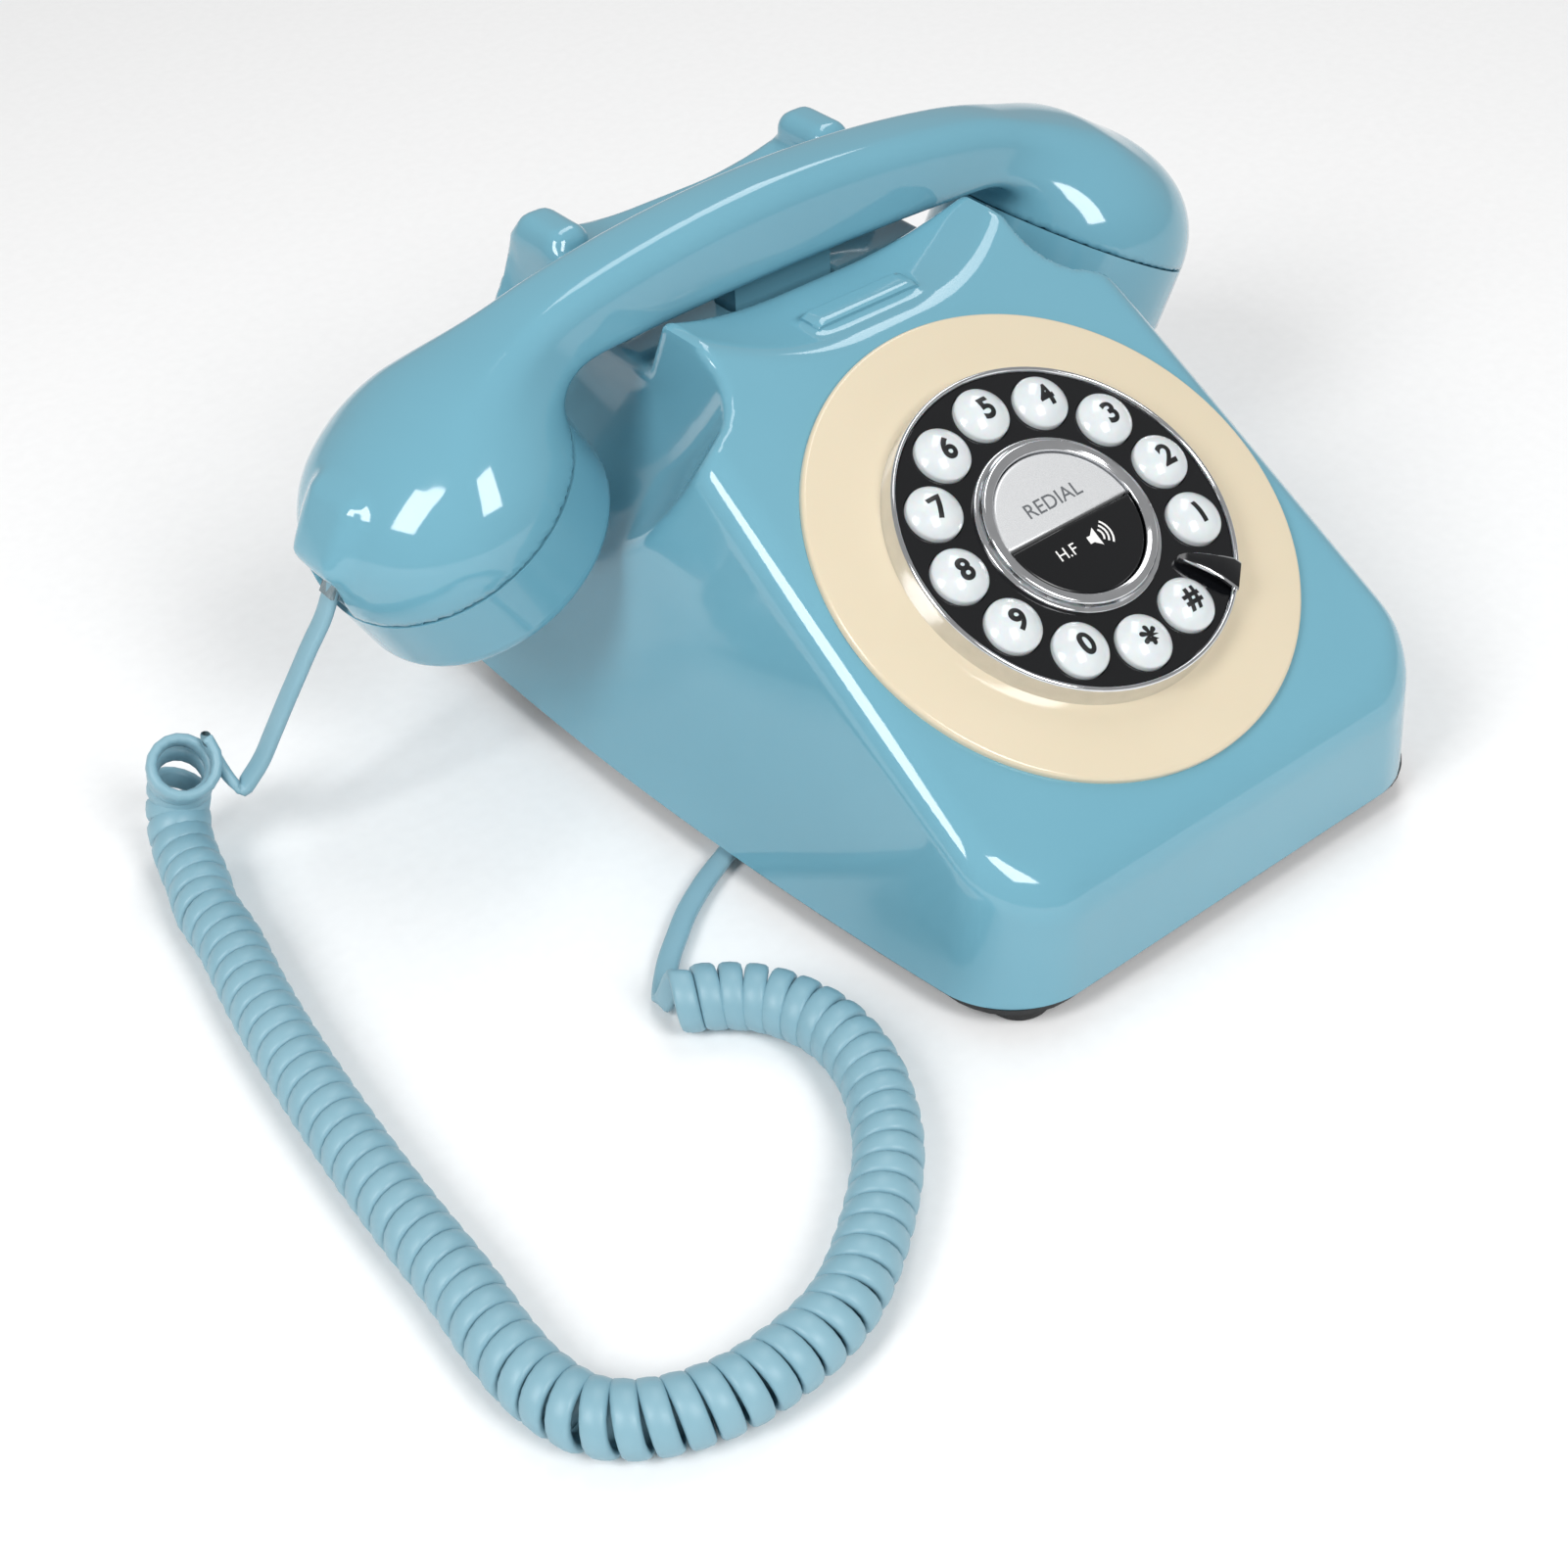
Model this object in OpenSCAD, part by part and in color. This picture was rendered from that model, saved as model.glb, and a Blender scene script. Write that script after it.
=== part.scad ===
// Desk telephone with a round push-button dial and a handset on a four-horned cradle.
// Millimetres, +Z up, front towards -Y. The origin is on the table under the middle of the body.

/* [Body] */
// Depth of the case at its rim, front to back
body_depth = 194; // [170:1:240]
// Greatest width of the case at its rim
body_width = 141; // [130:1:175]
// Width that the rim loses towards its front edge
front_taper = 20; // [10:1:30]
// Wall of the mouldings
wall = 2.5; // [2:0.1:3]
// Height of the rim above the table
rim_z = 6; // [6:0.5:8]
// Plan radius of the four lower corners
corner_r = 17; // [12:1:20]
// Height of the front skirt's upper edge above the table
skirt_z = 31.8; // [28:0.5:36]
// Slope of the dial panel from the horizontal, in degrees
tilt = 30; // [27:0.5:33]

/* [Cradle] */
// Distance between the outer faces of the left and right horns
cradle_width = 82; // [78:1:90]
// Height of the front horns above the table
front_horn_z = 97; // [94:0.5:99]
// Height of the rear horns above the table
rear_horn_z = 101; // [99:0.5:104]
// Height of the saddle floor between the horns
saddle_z = 90.5; // [89:0.5:91]
// Height of the flat bottom of the handle channel
channel_z = 84; // [82:0.5:85]
// Distance from the rear edge of the case forwards to the middle of the handle channel
channel_from_rear = 53; // [51:0.5:55]

/* [Dial] */
// Radius of the cream surround
surround_r = 53; // [50:0.5:54]
// Height of the surround above the panel
surround_h = 1.6; // [1.2:0.1:2]
// Radius of the black dial plate
plate_r = 35.4; // [35:0.1:37]
// Height of the dial plate's face above the panel
plate_h = 5.8; // [5:0.1:7]
// Radius of the button circle
pitch_r = 28; // [27.5:0.1:28.5]
// Radius of one digit button
button_r = 5.9; // [5.4:0.1:6]
// Height of a button above the dial plate
button_h = 3.6; // [3:0.1:4.5]
// Travel of a button
button_travel = 1.2; // [0.8:0.1:1.3]
// Outer radius of the chrome centre ring
ring_r = 19.8; // [19:0.1:20]
// Radius of the round pair of centre buttons
centre_r = 15.9; // [15:0.1:16]
// Gap between a button and its hole
button_gap = 0.25; // [0.15:0.05:0.3]

/* [Handset] */
// Distance between the centres of the two cap seams
cap_span = 173; // [165:1:180]
// Radius of the caps
cap_r = 30; // [28:0.5:31]
// Height of a cap from its seam to its face
cap_h = 18; // [16:0.5:19]
// Lean of the caps from upright, in degrees
cap_lean = 29; // [27:1:31]
// Height of the seam centres above the table
seam_z = 68; // [66:0.5:72]
// Height of the top of the handle above the table
handle_top_z = 111; // [110:0.5:114]
// Thickness of the handle at its middle
handle_t = 17.5; // [16:0.5:19]
// Width of the handle at its lower edges
handle_w = 22; // [20:0.5:24]
// Wall of the handset mouldings
shell_wall = 2.4; // [2:0.1:3]

/* [Cord] */
// Width of the flat cord
cord_w = 4.6; // [4:0.1:5]
// Thickness of the flat cord
cord_t = 2.3; // [2:0.1:2.6]
// Outer diameter of the coiled cord
coil_d = 13.4; // [12:0.1:15]

/* [Hidden] */

// Clearances: between parts on one body, between parts that move, and under a screw head
fit = 0.2;
run = 0.3;
screw_r = 1.4;
screw_head_r = 2.6;
screw_head_h = 1.6;
screw_sink = 0.6;
screw_length = 11;

half_depth = body_depth / 2;
half_width = body_width / 2;
edge_r = 6;
skirt_draft = 0.05;
ring_major = corner_r - edge_r - skirt_draft;

// Panel plane: passes through the skirt's upper edge and rises backwards
panel_y = -half_depth + 1;
function panel_at(y) = skirt_z + (y - panel_y) * tan(tilt);
function under_panel(y, major, minor) = panel_at(y) - (major * sin(tilt) + minor) / cos(tilt);

// Plan outline: the sides are arcs that are widest a little behind the middle
bulge_y = 35;
side_radius = pow(bulge_y + half_depth, 2) / front_taper;
function side_x(y, inset) =
    half_width - inset - side_radius + sqrt(pow(side_radius, 2) - pow(y - bulge_y, 2));
function corner_points(sx, sy, inset) = [
    for (i = [0:8])
        let (a = sx * sy > 0 ? i * 90 / 8 : 90 - i * 90 / 8,
             yc = sy * (half_depth - corner_r),
             xc = sx * (side_x(yc, 0) - corner_r),
             r = corner_r - inset)
        [xc + sx * r * cos(a), yc + sy * r * sin(a)]
];
function side_points(sx, inset) = [
    for (i = [1:9])
        let (y = sx * (-1 + i / 5) * (half_depth - corner_r))
        [sx * side_x(y, inset), y]
];
module outline(inset) {
    polygon(concat(
        side_points(1, inset), corner_points(1, 1, inset), corner_points(-1, 1, inset),
        side_points(-1, inset), corner_points(-1, -1, inset), corner_points(1, -1, inset)
    ));
}

// Shoulders, horns and back: centres of the round corners of the case above its rim
skirt_corner_y = -half_depth + corner_r;
skirt_corner_x = side_x(skirt_corner_y, 0) - corner_r;
shoulder_x = half_width - 15;
shoulder_y = -1;
horn_r = 4;
horn_x = cradle_width / 2;
horn_front_y = panel_y + (front_horn_z + horn_r / cos(tilt) - horn_r - skirt_z) / tan(tilt);
back_top_y = half_depth - 16;
back_shoulder_z = 84;

channel_y = half_depth - channel_from_rear;
handset_y = channel_y;

module case_form(inset) {
    r = edge_r - inset;
    hull() {
        translate([0, 0, rim_z - (inset > 0 ? 2 : 0)]) linear_extrude(1) outline(inset);
        for (sx = [-1, 1]) {
            translate([sx * skirt_corner_x, skirt_corner_y,
                       under_panel(skirt_corner_y, ring_major, edge_r)])
                rotate_extrude($fn = 32) translate([ring_major, 0]) circle(r = r, $fn = 24);
            translate([sx * (shoulder_x - edge_r), shoulder_y,
                       under_panel(shoulder_y, 0, edge_r)]) sphere(r = r, $fn = 32);
            translate([sx * (horn_x - horn_r), horn_front_y, front_horn_z - horn_r])
                sphere(r = horn_r - inset, $fn = 24);
            translate([sx * (horn_x - horn_r), back_top_y - horn_r, rear_horn_z - horn_r])
                sphere(r = horn_r - inset, $fn = 24);
            translate([sx * (shoulder_x - 2 * edge_r), half_depth - corner_r, back_shoulder_z - edge_r])
                sphere(r = r, $fn = 32);
        }
    }
}

// Space for a handset cap beside the cradle: a leaning cylinder, open towards the side
scoop_r = 64;
scoop_lean = 45;
scoop_axis_z = 140;
scoop_axis_x = 60;
scoop_y = channel_y + 2;
function scoop_at(x, y) = scoop_axis_z
    - (sqrt(pow(scoop_r, 2) - pow(y - scoop_y, 2)) + (x - scoop_axis_x) * sin(scoop_lean))
        / cos(scoop_lean);
module side_scoop(sx, grow) {
    intersection() {
        translate([sx * scoop_axis_x, scoop_y, scoop_axis_z]) rotate([0, -sx * scoop_lean, 0])
            cylinder(r = scoop_r + grow, h = 260, center = true, $fn = 96);
        translate([sx > 0 ? horn_x - grow : -horn_x + grow - 60, -half_depth, rim_z])
            cube([60, body_depth + 20, 140]);
    }
}

// Saddle between the left and right horns: flat in the middle, rising in arcs to the sides
saddle_flat = 16;
saddle_arc = 80;
module saddle_cut(grow) {
    translate([0, -half_depth, 0]) rotate([-90, 0, 0]) mirror([0, 1, 0])
        linear_extrude(body_depth + 20) polygon([
            for (i = [-12:12])
                let (x = i * (horn_x + 6) / 12,
                     over = max(0, abs(x) - saddle_flat / 2))
                [x, saddle_z - grow + saddle_arc - sqrt(pow(saddle_arc, 2) - pow(over, 2))],
            [horn_x + 6, rear_horn_z + 20], [-horn_x - 6, rear_horn_z + 20]
        ]);
}

// Channel for the handle, with sloping walls; its top is open
channel_top_w = 35;
channel_low_w = 19;
channel_top_z = 102;
module channel_cut(grow) {
    translate([-horn_x - 20, 0, 0]) rotate([90, 0, 90])
        linear_extrude(2 * horn_x + 40) polygon([
            [channel_y - channel_low_w / 2 - grow, channel_z - grow],
            [channel_y + channel_low_w / 2 + grow, channel_z - grow],
            [channel_y + channel_top_w / 2 + grow, channel_top_z],
            [channel_y - channel_top_w / 2 - grow, channel_top_z]
        ]);
}

module cradle_cuts(grow) {
    side_scoop(-1, grow);
    side_scoop(1, grow);
    saddle_cut(grow);
    channel_cut(grow);
}

// Rear horns stand proud of the saddle's arc
horn_inner_x = horn_x - 11;
module rear_horns() {
    for (sx = [-1, 1]) hull() {
        for (y = [channel_y + channel_top_w / 2 + horn_r - 1, back_top_y - horn_r])
            for (x = [horn_x - horn_r, horn_inner_x + horn_r + 1]) {
                translate([sx * x, y, rear_horn_z - horn_r]) sphere(r = horn_r, $fn = 24);
                translate([sx * x, y, saddle_z - 4]) cylinder(r = horn_r, h = 1, $fn = 24);
            }
    }
}

module on_panel() {
    translate([0, panel_y, skirt_z]) rotate([tilt, 0, 0]) children();
}
dial_s = 61.3;
module on_dial() {
    on_panel() translate([0, dial_s, 0]) children();
}

// Screw pillars: front pair under the panel, rear pair under the side scoops
pillar_r = 4.5;
pillars = [for (sx = [-1, 1]) for (front = [true, false])
    let (x = front ? skirt_corner_x - 2 : shoulder_x - 7,
         y = front ? skirt_corner_y - 2 : half_depth - corner_r)
    [sx * x, y, front ? panel_at(y - pillar_r) - 1 : scoop_at(x, y) - 1]];
plate_t = 1.2;
plate_z = rim_z - plate_t;
lip_h = 2;
lip_slack = 0.7;

// Bezel, plate and keys of the dial, as heights above the panel
bezel_r = 37.2;
spigot_out_r = 36.2;
spigot_in_r = 34.6;
dial_plate_t = 2;
flange_h = 1;
board_t = 1.6;
membrane_t = 1.2;
membrane_top = -0.2;
retainer_t = 2;
retainer_rim = 4;
spigot_low = -wall - 0.1 - retainer_t;
line_jack_x = -24;
line_jack_w = 16;
line_jack_h = 13;
line_jack_d = 14;
line_plug = [9.8, 6.8];
latch_w = 3.6;
base_jack_y = -17;
hook_w = 26;
hook_d = 7;
hook_stem_r = 3;
hook_travel = 4;

// Raised bar on the saddle, and the two rests that carry the handle in its channel
rib = [27, 6.3, 3];
rib_y = 16;
rest = [4, 16];
rest_x = 28;

module upper_case() color("#78b0c4") difference() {
    union() {
        difference() {
            case_form(0);
            cradle_cuts(0);
        }
        rear_horns();
        translate([-rib[0] / 2, rib_y - rib[1] / 2, saddle_z - 1]) cube(rib);
        for (sx = [-1, 1]) translate([sx * rest_x - rest[0] / 2, channel_y - rest[1] / 2, channel_z - 1])
            cube([rest[0], rest[1], handle_low(rest_x) - handle_keel - 0.4 - channel_z + 1]);
    }
    difference() {
        difference() {
            case_form(wall);
            cradle_cuts(wall);
        }
        for (p = pillars)
            translate([p[0], p[1], 0]) cylinder(r = pillar_r, h = p[2]);
    }
    for (p = pillars)
        translate([p[0], p[1], 0]) cylinder(r = screw_r - 0.15, h = rim_z + screw_length + 3, $fn = 24);
    on_dial() cylinder(r = spigot_out_r + 0.05, h = 40, center = true, $fn = 96);
    translate([-hook_w / 2 - run, channel_y - hook_d / 2 - run, channel_z - 2 * wall])
        cube([hook_w + 2 * run, hook_d + 2 * run, 3 * wall]);
    translate([line_jack_x - line_jack_w / 2 + 2, half_depth - 10, rim_z - 1])
        cube([line_jack_w - 4, 20, line_jack_h - 2]);
}

// Black underside: a flat plate with a lip that locates it inside the rim
foot_x = 49;
foot_front_y = -half_depth + 11;
foot_rear_y = half_depth - 17;
foot_r = 8;
foot_taper = 1.5;
feet = [for (sx = [-1, 1]) for (y = [foot_front_y, foot_rear_y]) [sx * foot_x, y]];
board_size = [86, 58];
board_y = channel_y - 22;
board_z = 12;
board_screw_r = 1.2;
board_holes = [for (sx = [-1, 1]) for (sy = [-1, 1])
    [sx * (board_size[0] / 2 - 4), board_y + sy * (board_size[1] / 2 - 4)]];
speaker_y = -52;
speaker_r = 22;
speaker_wall = 2;
speaker_flange_h = 2.5;
speaker_cone_h = 6;
magnet = [11, 5];
grille_pitch = 6.5;
grille_hole_r = 1.5;
ballast = [74, 24, 6];
ballast_y = half_depth - 30;
jack_slot = [32, 13];

module base_plate() color("#17181a") difference() {
    union() {
        translate([0, 0, plate_z]) linear_extrude(plate_t) outline(0.8);
        translate([0, 0, rim_z]) linear_extrude(lip_h) difference() {
            outline(wall + lip_slack);
            outline(wall + lip_slack + 1.6);
        }
        for (p = board_holes)
            translate([p[0], p[1], rim_z]) cylinder(r = 3.2, h = board_z - rim_z, $fn = 32);
        translate([0, speaker_y, rim_z]) difference() {
            cylinder(r = speaker_r + speaker_wall, h = speaker_flange_h, $fn = 64);
            translate([0, 0, -1]) cylinder(r = speaker_r + run, h = speaker_flange_h + 2, $fn = 64);
        }
    }
    for (p = pillars) translate([p[0], p[1], plate_z - 1]) {
        cylinder(r = screw_r + fit, h = 20, $fn = 32);
        cylinder(r = screw_head_r + fit, h = 1 + screw_sink, $fn = 32);
        translate([0, 0, 1 + plate_t]) cylinder(r = pillar_r + run, h = 10, $fn = 32);
    }
    for (p = board_holes)
        translate([p[0], p[1], rim_z - 1]) cylinder(r = board_screw_r, h = 20, $fn = 24);
    translate([0, speaker_y, plate_z - 1]) {
        for (ring = [0:2]) for (k = [0:max(ring * 6 - 1, 0)])
            rotate(k * 60 / max(ring, 1)) translate([ring * grille_pitch, 0, 0])
                cylinder(r = grille_hole_r, h = 4, $fn = 24);
    }
    translate([-half_width, base_jack_y - jack_slot[1] / 2, plate_z - 1])
        cube([jack_slot[0], jack_slot[1], 6]);
    translate([line_jack_x - line_jack_w / 2 - fit, half_depth - line_jack_d - 2, rim_z])
        cube([line_jack_w + 2 * fit, 20, 6]);
}

module rubber_feet() color("#1c1c1d") difference() {
    for (p = feet) translate([p[0], p[1], 0])
        cylinder(r1 = foot_r - foot_taper, r2 = foot_r, h = plate_z, $fn = 48);
    for (p = pillars) translate([p[0], p[1], plate_z + screw_sink - fit - screw_head_h])
        cylinder(r = screw_head_r + run, h = screw_head_h, $fn = 32);
}

module base_screws() color("silver") for (p = pillars) translate([p[0], p[1], 0]) {
    translate([0, 0, plate_z + screw_sink - screw_head_h])
        cylinder(r = screw_head_r, h = screw_head_h, $fn = 32);
    translate([0, 0, plate_z + screw_sink]) cylinder(r = screw_r - fit, h = screw_length, $fn = 24);
}

module ballast_plate() color("#6b6e72")
    translate([-ballast[0] / 2, ballast_y - ballast[1] / 2, rim_z]) cube(ballast);

// Dial: surround, bezel, plate, stop and centre ring
surround_edge = 0.6;
bezel_draft = 0.7;
bezel_lip = 0.6;
bezel_top = plate_h + bezel_lip;
module dial_surround() color("#ebddc4") on_dial() difference() {
    union() {
        cylinder(r = surround_r, h = surround_h - surround_edge, $fn = 128);
        translate([0, 0, surround_h - surround_edge])
            cylinder(r1 = surround_r, r2 = surround_r - surround_edge, h = surround_edge, $fn = 128);
    }
    translate([0, 0, -1]) cylinder(r = spigot_out_r + 0.05, h = surround_h + 2, $fn = 96);
}

plate_low = plate_h - dial_plate_t;
module dial_bezel() color("#c9ccd0") on_dial() difference() {
    union() {
        translate([0, 0, surround_h])
            cylinder(r1 = bezel_r, r2 = bezel_r - bezel_draft, h = bezel_top - surround_h, $fn = 96);
        translate([0, 0, spigot_low]) cylinder(r = spigot_out_r, h = surround_h - spigot_low, $fn = 96);
    }
    translate([0, 0, plate_low]) cylinder(r = plate_r + 0.05, h = 10, $fn = 96);
    translate([0, 0, spigot_low - 1]) cylinder(r = spigot_in_r, h = 20, $fn = 96);
}

module dial_retainer() color("#2a2b2d") on_dial() translate([0, 0, spigot_low]) difference() {
    cylinder(r = spigot_out_r + retainer_rim, h = retainer_t, $fn = 96);
    translate([0, 0, -1]) cylinder(r = spigot_out_r + 0.05, h = retainer_t + 2, $fn = 96);
}

// Keys sit on a ring of twelve and a half places; the finger stop fills the wide gap
step = 360 / 12.5;
first_key = -45 + 0.75 * step;
keys = ["1", "2", "3", "4", "5", "6", "7", "8", "9", "0", "star", "hash"];
function key_angle(i) = first_key + i * step;
post_angles = [30, 150, 270];
post_pitch = 18;
post_r = 1.3;

module dial_plate() color("#0d0e10") on_dial() translate([0, 0, plate_low]) difference() {
    cylinder(r = plate_r, h = dial_plate_t, $fn = 96);
    translate([0, 0, -1]) cylinder(r = centre_r + button_gap, h = dial_plate_t + 2, $fn = 96);
    for (i = [0:11]) rotate(key_angle(i)) translate([pitch_r, 0, -1])
        cylinder(r = button_r + button_gap, h = dial_plate_t + 2, $fn = 48);
    for (a = post_angles) rotate(a) translate([post_pitch, 0, -1])
        cylinder(r = post_r + fit, h = dial_plate_t + 2, $fn = 24);
}

stop_reach = 23;
stop_t = 1.2;
stop_w = 7.2;
stop_angle = -46;
module finger_stop() color("#c9ccd0") on_dial() rotate(stop_angle) {
    translate([0, 0, bezel_top]) linear_extrude(stop_t) polygon([
        [bezel_r - 0.9, -stop_w / 2], [bezel_r - 0.9, stop_w / 2], [stop_reach + 2, stop_w / 4],
        [stop_reach, 0], [stop_reach + 2, -stop_w / 4]
    ]);
    translate([stop_reach + 2.4, 0, plate_h]) cylinder(r = 1.2, h = bezel_lip + 0.2, $fn = 24);
}

ring_h = 2.2;
ring_step_h = 0.9;
ring_step_w = 1.2;
screw_hole_r = 0.6;
screw_pass_r = 0.9;
module centre_ring() color("#d4d6d9") on_dial() {
    translate([0, 0, plate_h]) difference() {
        union() {
            cylinder(r = ring_r, h = ring_step_h, $fn = 96);
            cylinder(r1 = ring_r - ring_step_w, r2 = ring_r - ring_step_w - 0.5, h = ring_h, $fn = 96);
        }
        translate([0, 0, -1]) cylinder(r = centre_r + button_gap, h = ring_h + 2, $fn = 96);
    }
    for (a = post_angles) rotate(a) translate([post_pitch, 0, membrane_top])
        difference() {
            cylinder(r = post_r, h = plate_h - membrane_top + 0.4, $fn = 24);
            translate([0, 0, -1]) cylinder(r = screw_hole_r, h = 4.5, $fn = 16);
        }
}

board_low = membrane_top - membrane_t - board_t;
module at_posts() for (a = post_angles) rotate(a) translate([post_pitch, 0, 0]) children();
module drilled_disc(t) difference() {
    cylinder(r = spigot_in_r - fit, h = t, $fn = 96);
    at_posts() translate([0, 0, -1]) cylinder(r = screw_pass_r, h = t + 2, $fn = 24);
}
module keypad_membrane() color("#9fb3ad") on_dial()
    translate([0, 0, membrane_top - membrane_t]) drilled_disc(membrane_t);
module keypad_board() color("#2f6b46") on_dial()
    translate([0, 0, board_low]) drilled_disc(board_t);
module keypad_screws() color("silver") on_dial() at_posts() translate([0, 0, board_low]) {
    translate([0, 0, -1.2]) cylinder(r = 1.8, h = 1.2, $fn = 32);
    cylinder(r = screw_hole_r, h = board_t + membrane_t + 2.5, $fn = 16);
}

// A key: a dome on a straight stem, held under the plate by its flange
dome_h = 2.6;
key_foot_r = 2;
key_dome_r = (pow(button_r, 2) + pow(dome_h, 2)) / (2 * dome_h);
module key(i) color("#eef1f2") on_dial() rotate(key_angle(i)) translate([pitch_r, 0, 0]) {
    translate([0, 0, plate_low - flange_h]) cylinder(r = button_r + 0.6, h = flange_h, $fn = 48);
    translate([0, 0, plate_low]) cylinder(r = button_r, h = dial_plate_t + button_h - dome_h, $fn = 48);
    translate([0, 0, plate_h + button_h - dome_h]) intersection() {
        cylinder(r = button_r, h = dome_h, $fn = 48);
        translate([0, 0, dome_h - key_dome_r]) sphere(r = key_dome_r, $fn = 64);
    }
    translate([0, 0, membrane_top + button_travel + 0.1])
        cylinder(r = key_foot_r, h = plate_low - flange_h - membrane_top - button_travel - 0.1, $fn = 24);
}
module button_1() key(0);
module button_2() key(1);
module button_3() key(2);
module button_4() key(3);
module button_5() key(4);
module button_6() key(5);
module button_7() key(6);
module button_8() key(7);
module button_9() key(8);
module button_0() key(9);
module button_star() key(10);
module button_hash() key(11);

// Centre buttons: two halves of one disc
half_gap = 0.6;
centre_low = 1.2;
centre_proud = 1.4;
centre_foot_r = 3;
module half_disc(r, h, side) intersection() {
    cylinder(r = r, h = h, $fn = 96);
    translate([-r - 1, side > 0 ? half_gap / 2 : -r - 1 - half_gap / 2, -1])
        cube([2 * r + 2, r + 1, h + 2]);
}
module centre_button(side) on_dial() {
    translate([0, 0, plate_low - flange_h]) half_disc(centre_r + 0.6, flange_h, side);
    translate([0, 0, plate_low - flange_h])
        half_disc(centre_r, plate_h + centre_proud - plate_low + flange_h, side);
    translate([0, side * 9, membrane_top + centre_low + 0.1])
        cylinder(r = centre_foot_r, h = plate_low - flange_h - membrane_top - centre_low - 0.1, $fn = 24);
}
module redial_button() color("#dcdcdc") centre_button(1);
module handsfree_button() color("#101113") centre_button(-1);

// Electronics inside the case
module main_board() color("#2f6b46") translate([0, board_y, board_z]) difference() {
    translate([-board_size[0] / 2, -board_size[1] / 2, 0]) cube([board_size[0], board_size[1], board_t]);
    for (p = board_holes)
        translate([p[0], p[1] - board_y, -1]) cylinder(r = 1.6, h = 4, $fn = 24);
}
module board_screws() color("silver") for (p = board_holes) translate([p[0], p[1], board_z + board_t]) {
    cylinder(r = screw_head_r, h = 1.4, $fn = 32);
    translate([0, 0, -board_t - 5]) cylinder(r = board_screw_r, h = board_t + 5, $fn = 24);
}
board_top = board_z + board_t;
core = [16, 14, 12];
winding = [12, 18, 8];
module line_transformer() color("#8a7f4a") translate([24, board_y - 8, board_top]) {
    translate([-core[0] / 2, -core[1] / 2, 0]) cube(core);
    translate([-winding[0] / 2, -winding[1] / 2, (core[2] - winding[2]) / 2]) cube(winding);
}
chip = [18, 7, 3.4];
pin = [0.6, 0.5, 2];
pin_pitch = 2.54;
module ringer_chip() color("#18191b") translate([-30, board_y + 8, board_top]) {
    translate([-chip[0] / 2, -chip[1] / 2, pin[0]]) cube(chip);
    for (i = [-3:3]) for (sy = [-1, 1])
        translate([i * pin_pitch - pin[0] / 2, (sy * chip[1] - pin[1]) / 2, 0]) cube(pin);
}
mic = [4.8, 6];
module handsfree_mic() color("#b9bcc0") translate([-24, board_y - 18, board_top])
    cylinder(r = mic[0], h = mic[1], $fn = 32);

module loudspeaker() color("#3a3b3e") translate([0, speaker_y, rim_z]) {
    cylinder(r = speaker_r, h = speaker_flange_h, $fn = 64);
    translate([0, 0, speaker_flange_h])
        cylinder(r1 = speaker_r - 2, r2 = magnet[0], h = speaker_cone_h, $fn = 64);
    translate([0, 0, speaker_flange_h + speaker_cone_h]) cylinder(r = magnet[0], h = magnet[1], $fn = 48);
}
clamp_t = 0.8;
module speaker_clamp() color("#9a9da1") translate([0, speaker_y, rim_z + speaker_flange_h])
difference() {
    cylinder(r = speaker_r + speaker_wall, h = clamp_t, $fn = 64);
    translate([0, 0, -1]) cylinder(r = speaker_r - 2 + fit, h = clamp_t + 2, $fn = 64);
}

module line_jack() color("#1b1c1e") translate([line_jack_x, half_depth - line_jack_d - 1.5, rim_z])
difference() {
    translate([-line_jack_w / 2, 0, 0]) cube([line_jack_w, line_jack_d - wall - 1.1, line_jack_h]);
    translate([-line_plug[0] / 2, 3, 2.2]) cube([line_plug[0], 20, line_plug[1]]);
    translate([-latch_w / 2, 3, 2 + line_plug[1]]) cube([latch_w, 20, 2]);
}

// Plug and socket of the handset cord: the plug points along -X in its own frame
plug_size = [11.7, 7.6, 6.6];
socket_depth = 7;
socket_gap = 0.25;
plug_latch_w = 3.2;
module socket(w, h, d) difference() {
    translate([0, -w / 2, -h / 2]) cube([d, w, h]);
    translate([-1, -plug_size[1] / 2 - socket_gap, -plug_size[2] / 2 - socket_gap])
        cube([socket_depth + 1, plug_size[1] + 2 * socket_gap, plug_size[2] + 2 * socket_gap]);
}
module plug() {
    translate([-plug_size[0] + socket_depth - 0.5, -plug_size[1] / 2, -plug_size[2] / 2 + 1])
        cube([plug_size[0], plug_size[1], plug_size[2] - 1]);
    translate([-plug_size[0] + socket_depth + 2, -plug_latch_w / 2, -plug_size[2] / 2])
        cube([plug_size[0] - 4, plug_latch_w, 1.2]);
}
plug_back = plug_size[0] - socket_depth + 0.5;

base_jack_x = -half_width + 18.5;
base_jack_z = 7;
module on_base_jack() translate([base_jack_x, base_jack_y, base_jack_z]) children();
module base_cord_jack() color("#1b1c1e") {
    on_base_jack() socket(12, 8.4, 11.5);
    difference() {
        translate([base_jack_x + 1, base_jack_y - 9, rim_z]) cube([10, 18, 1.6]);
        on_base_jack() translate([-1, -5.9, -4]) cube([12.4, 11.8, 8]);
    }
}
module base_plug() color("#d8e0e2") on_base_jack() plug();

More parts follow.
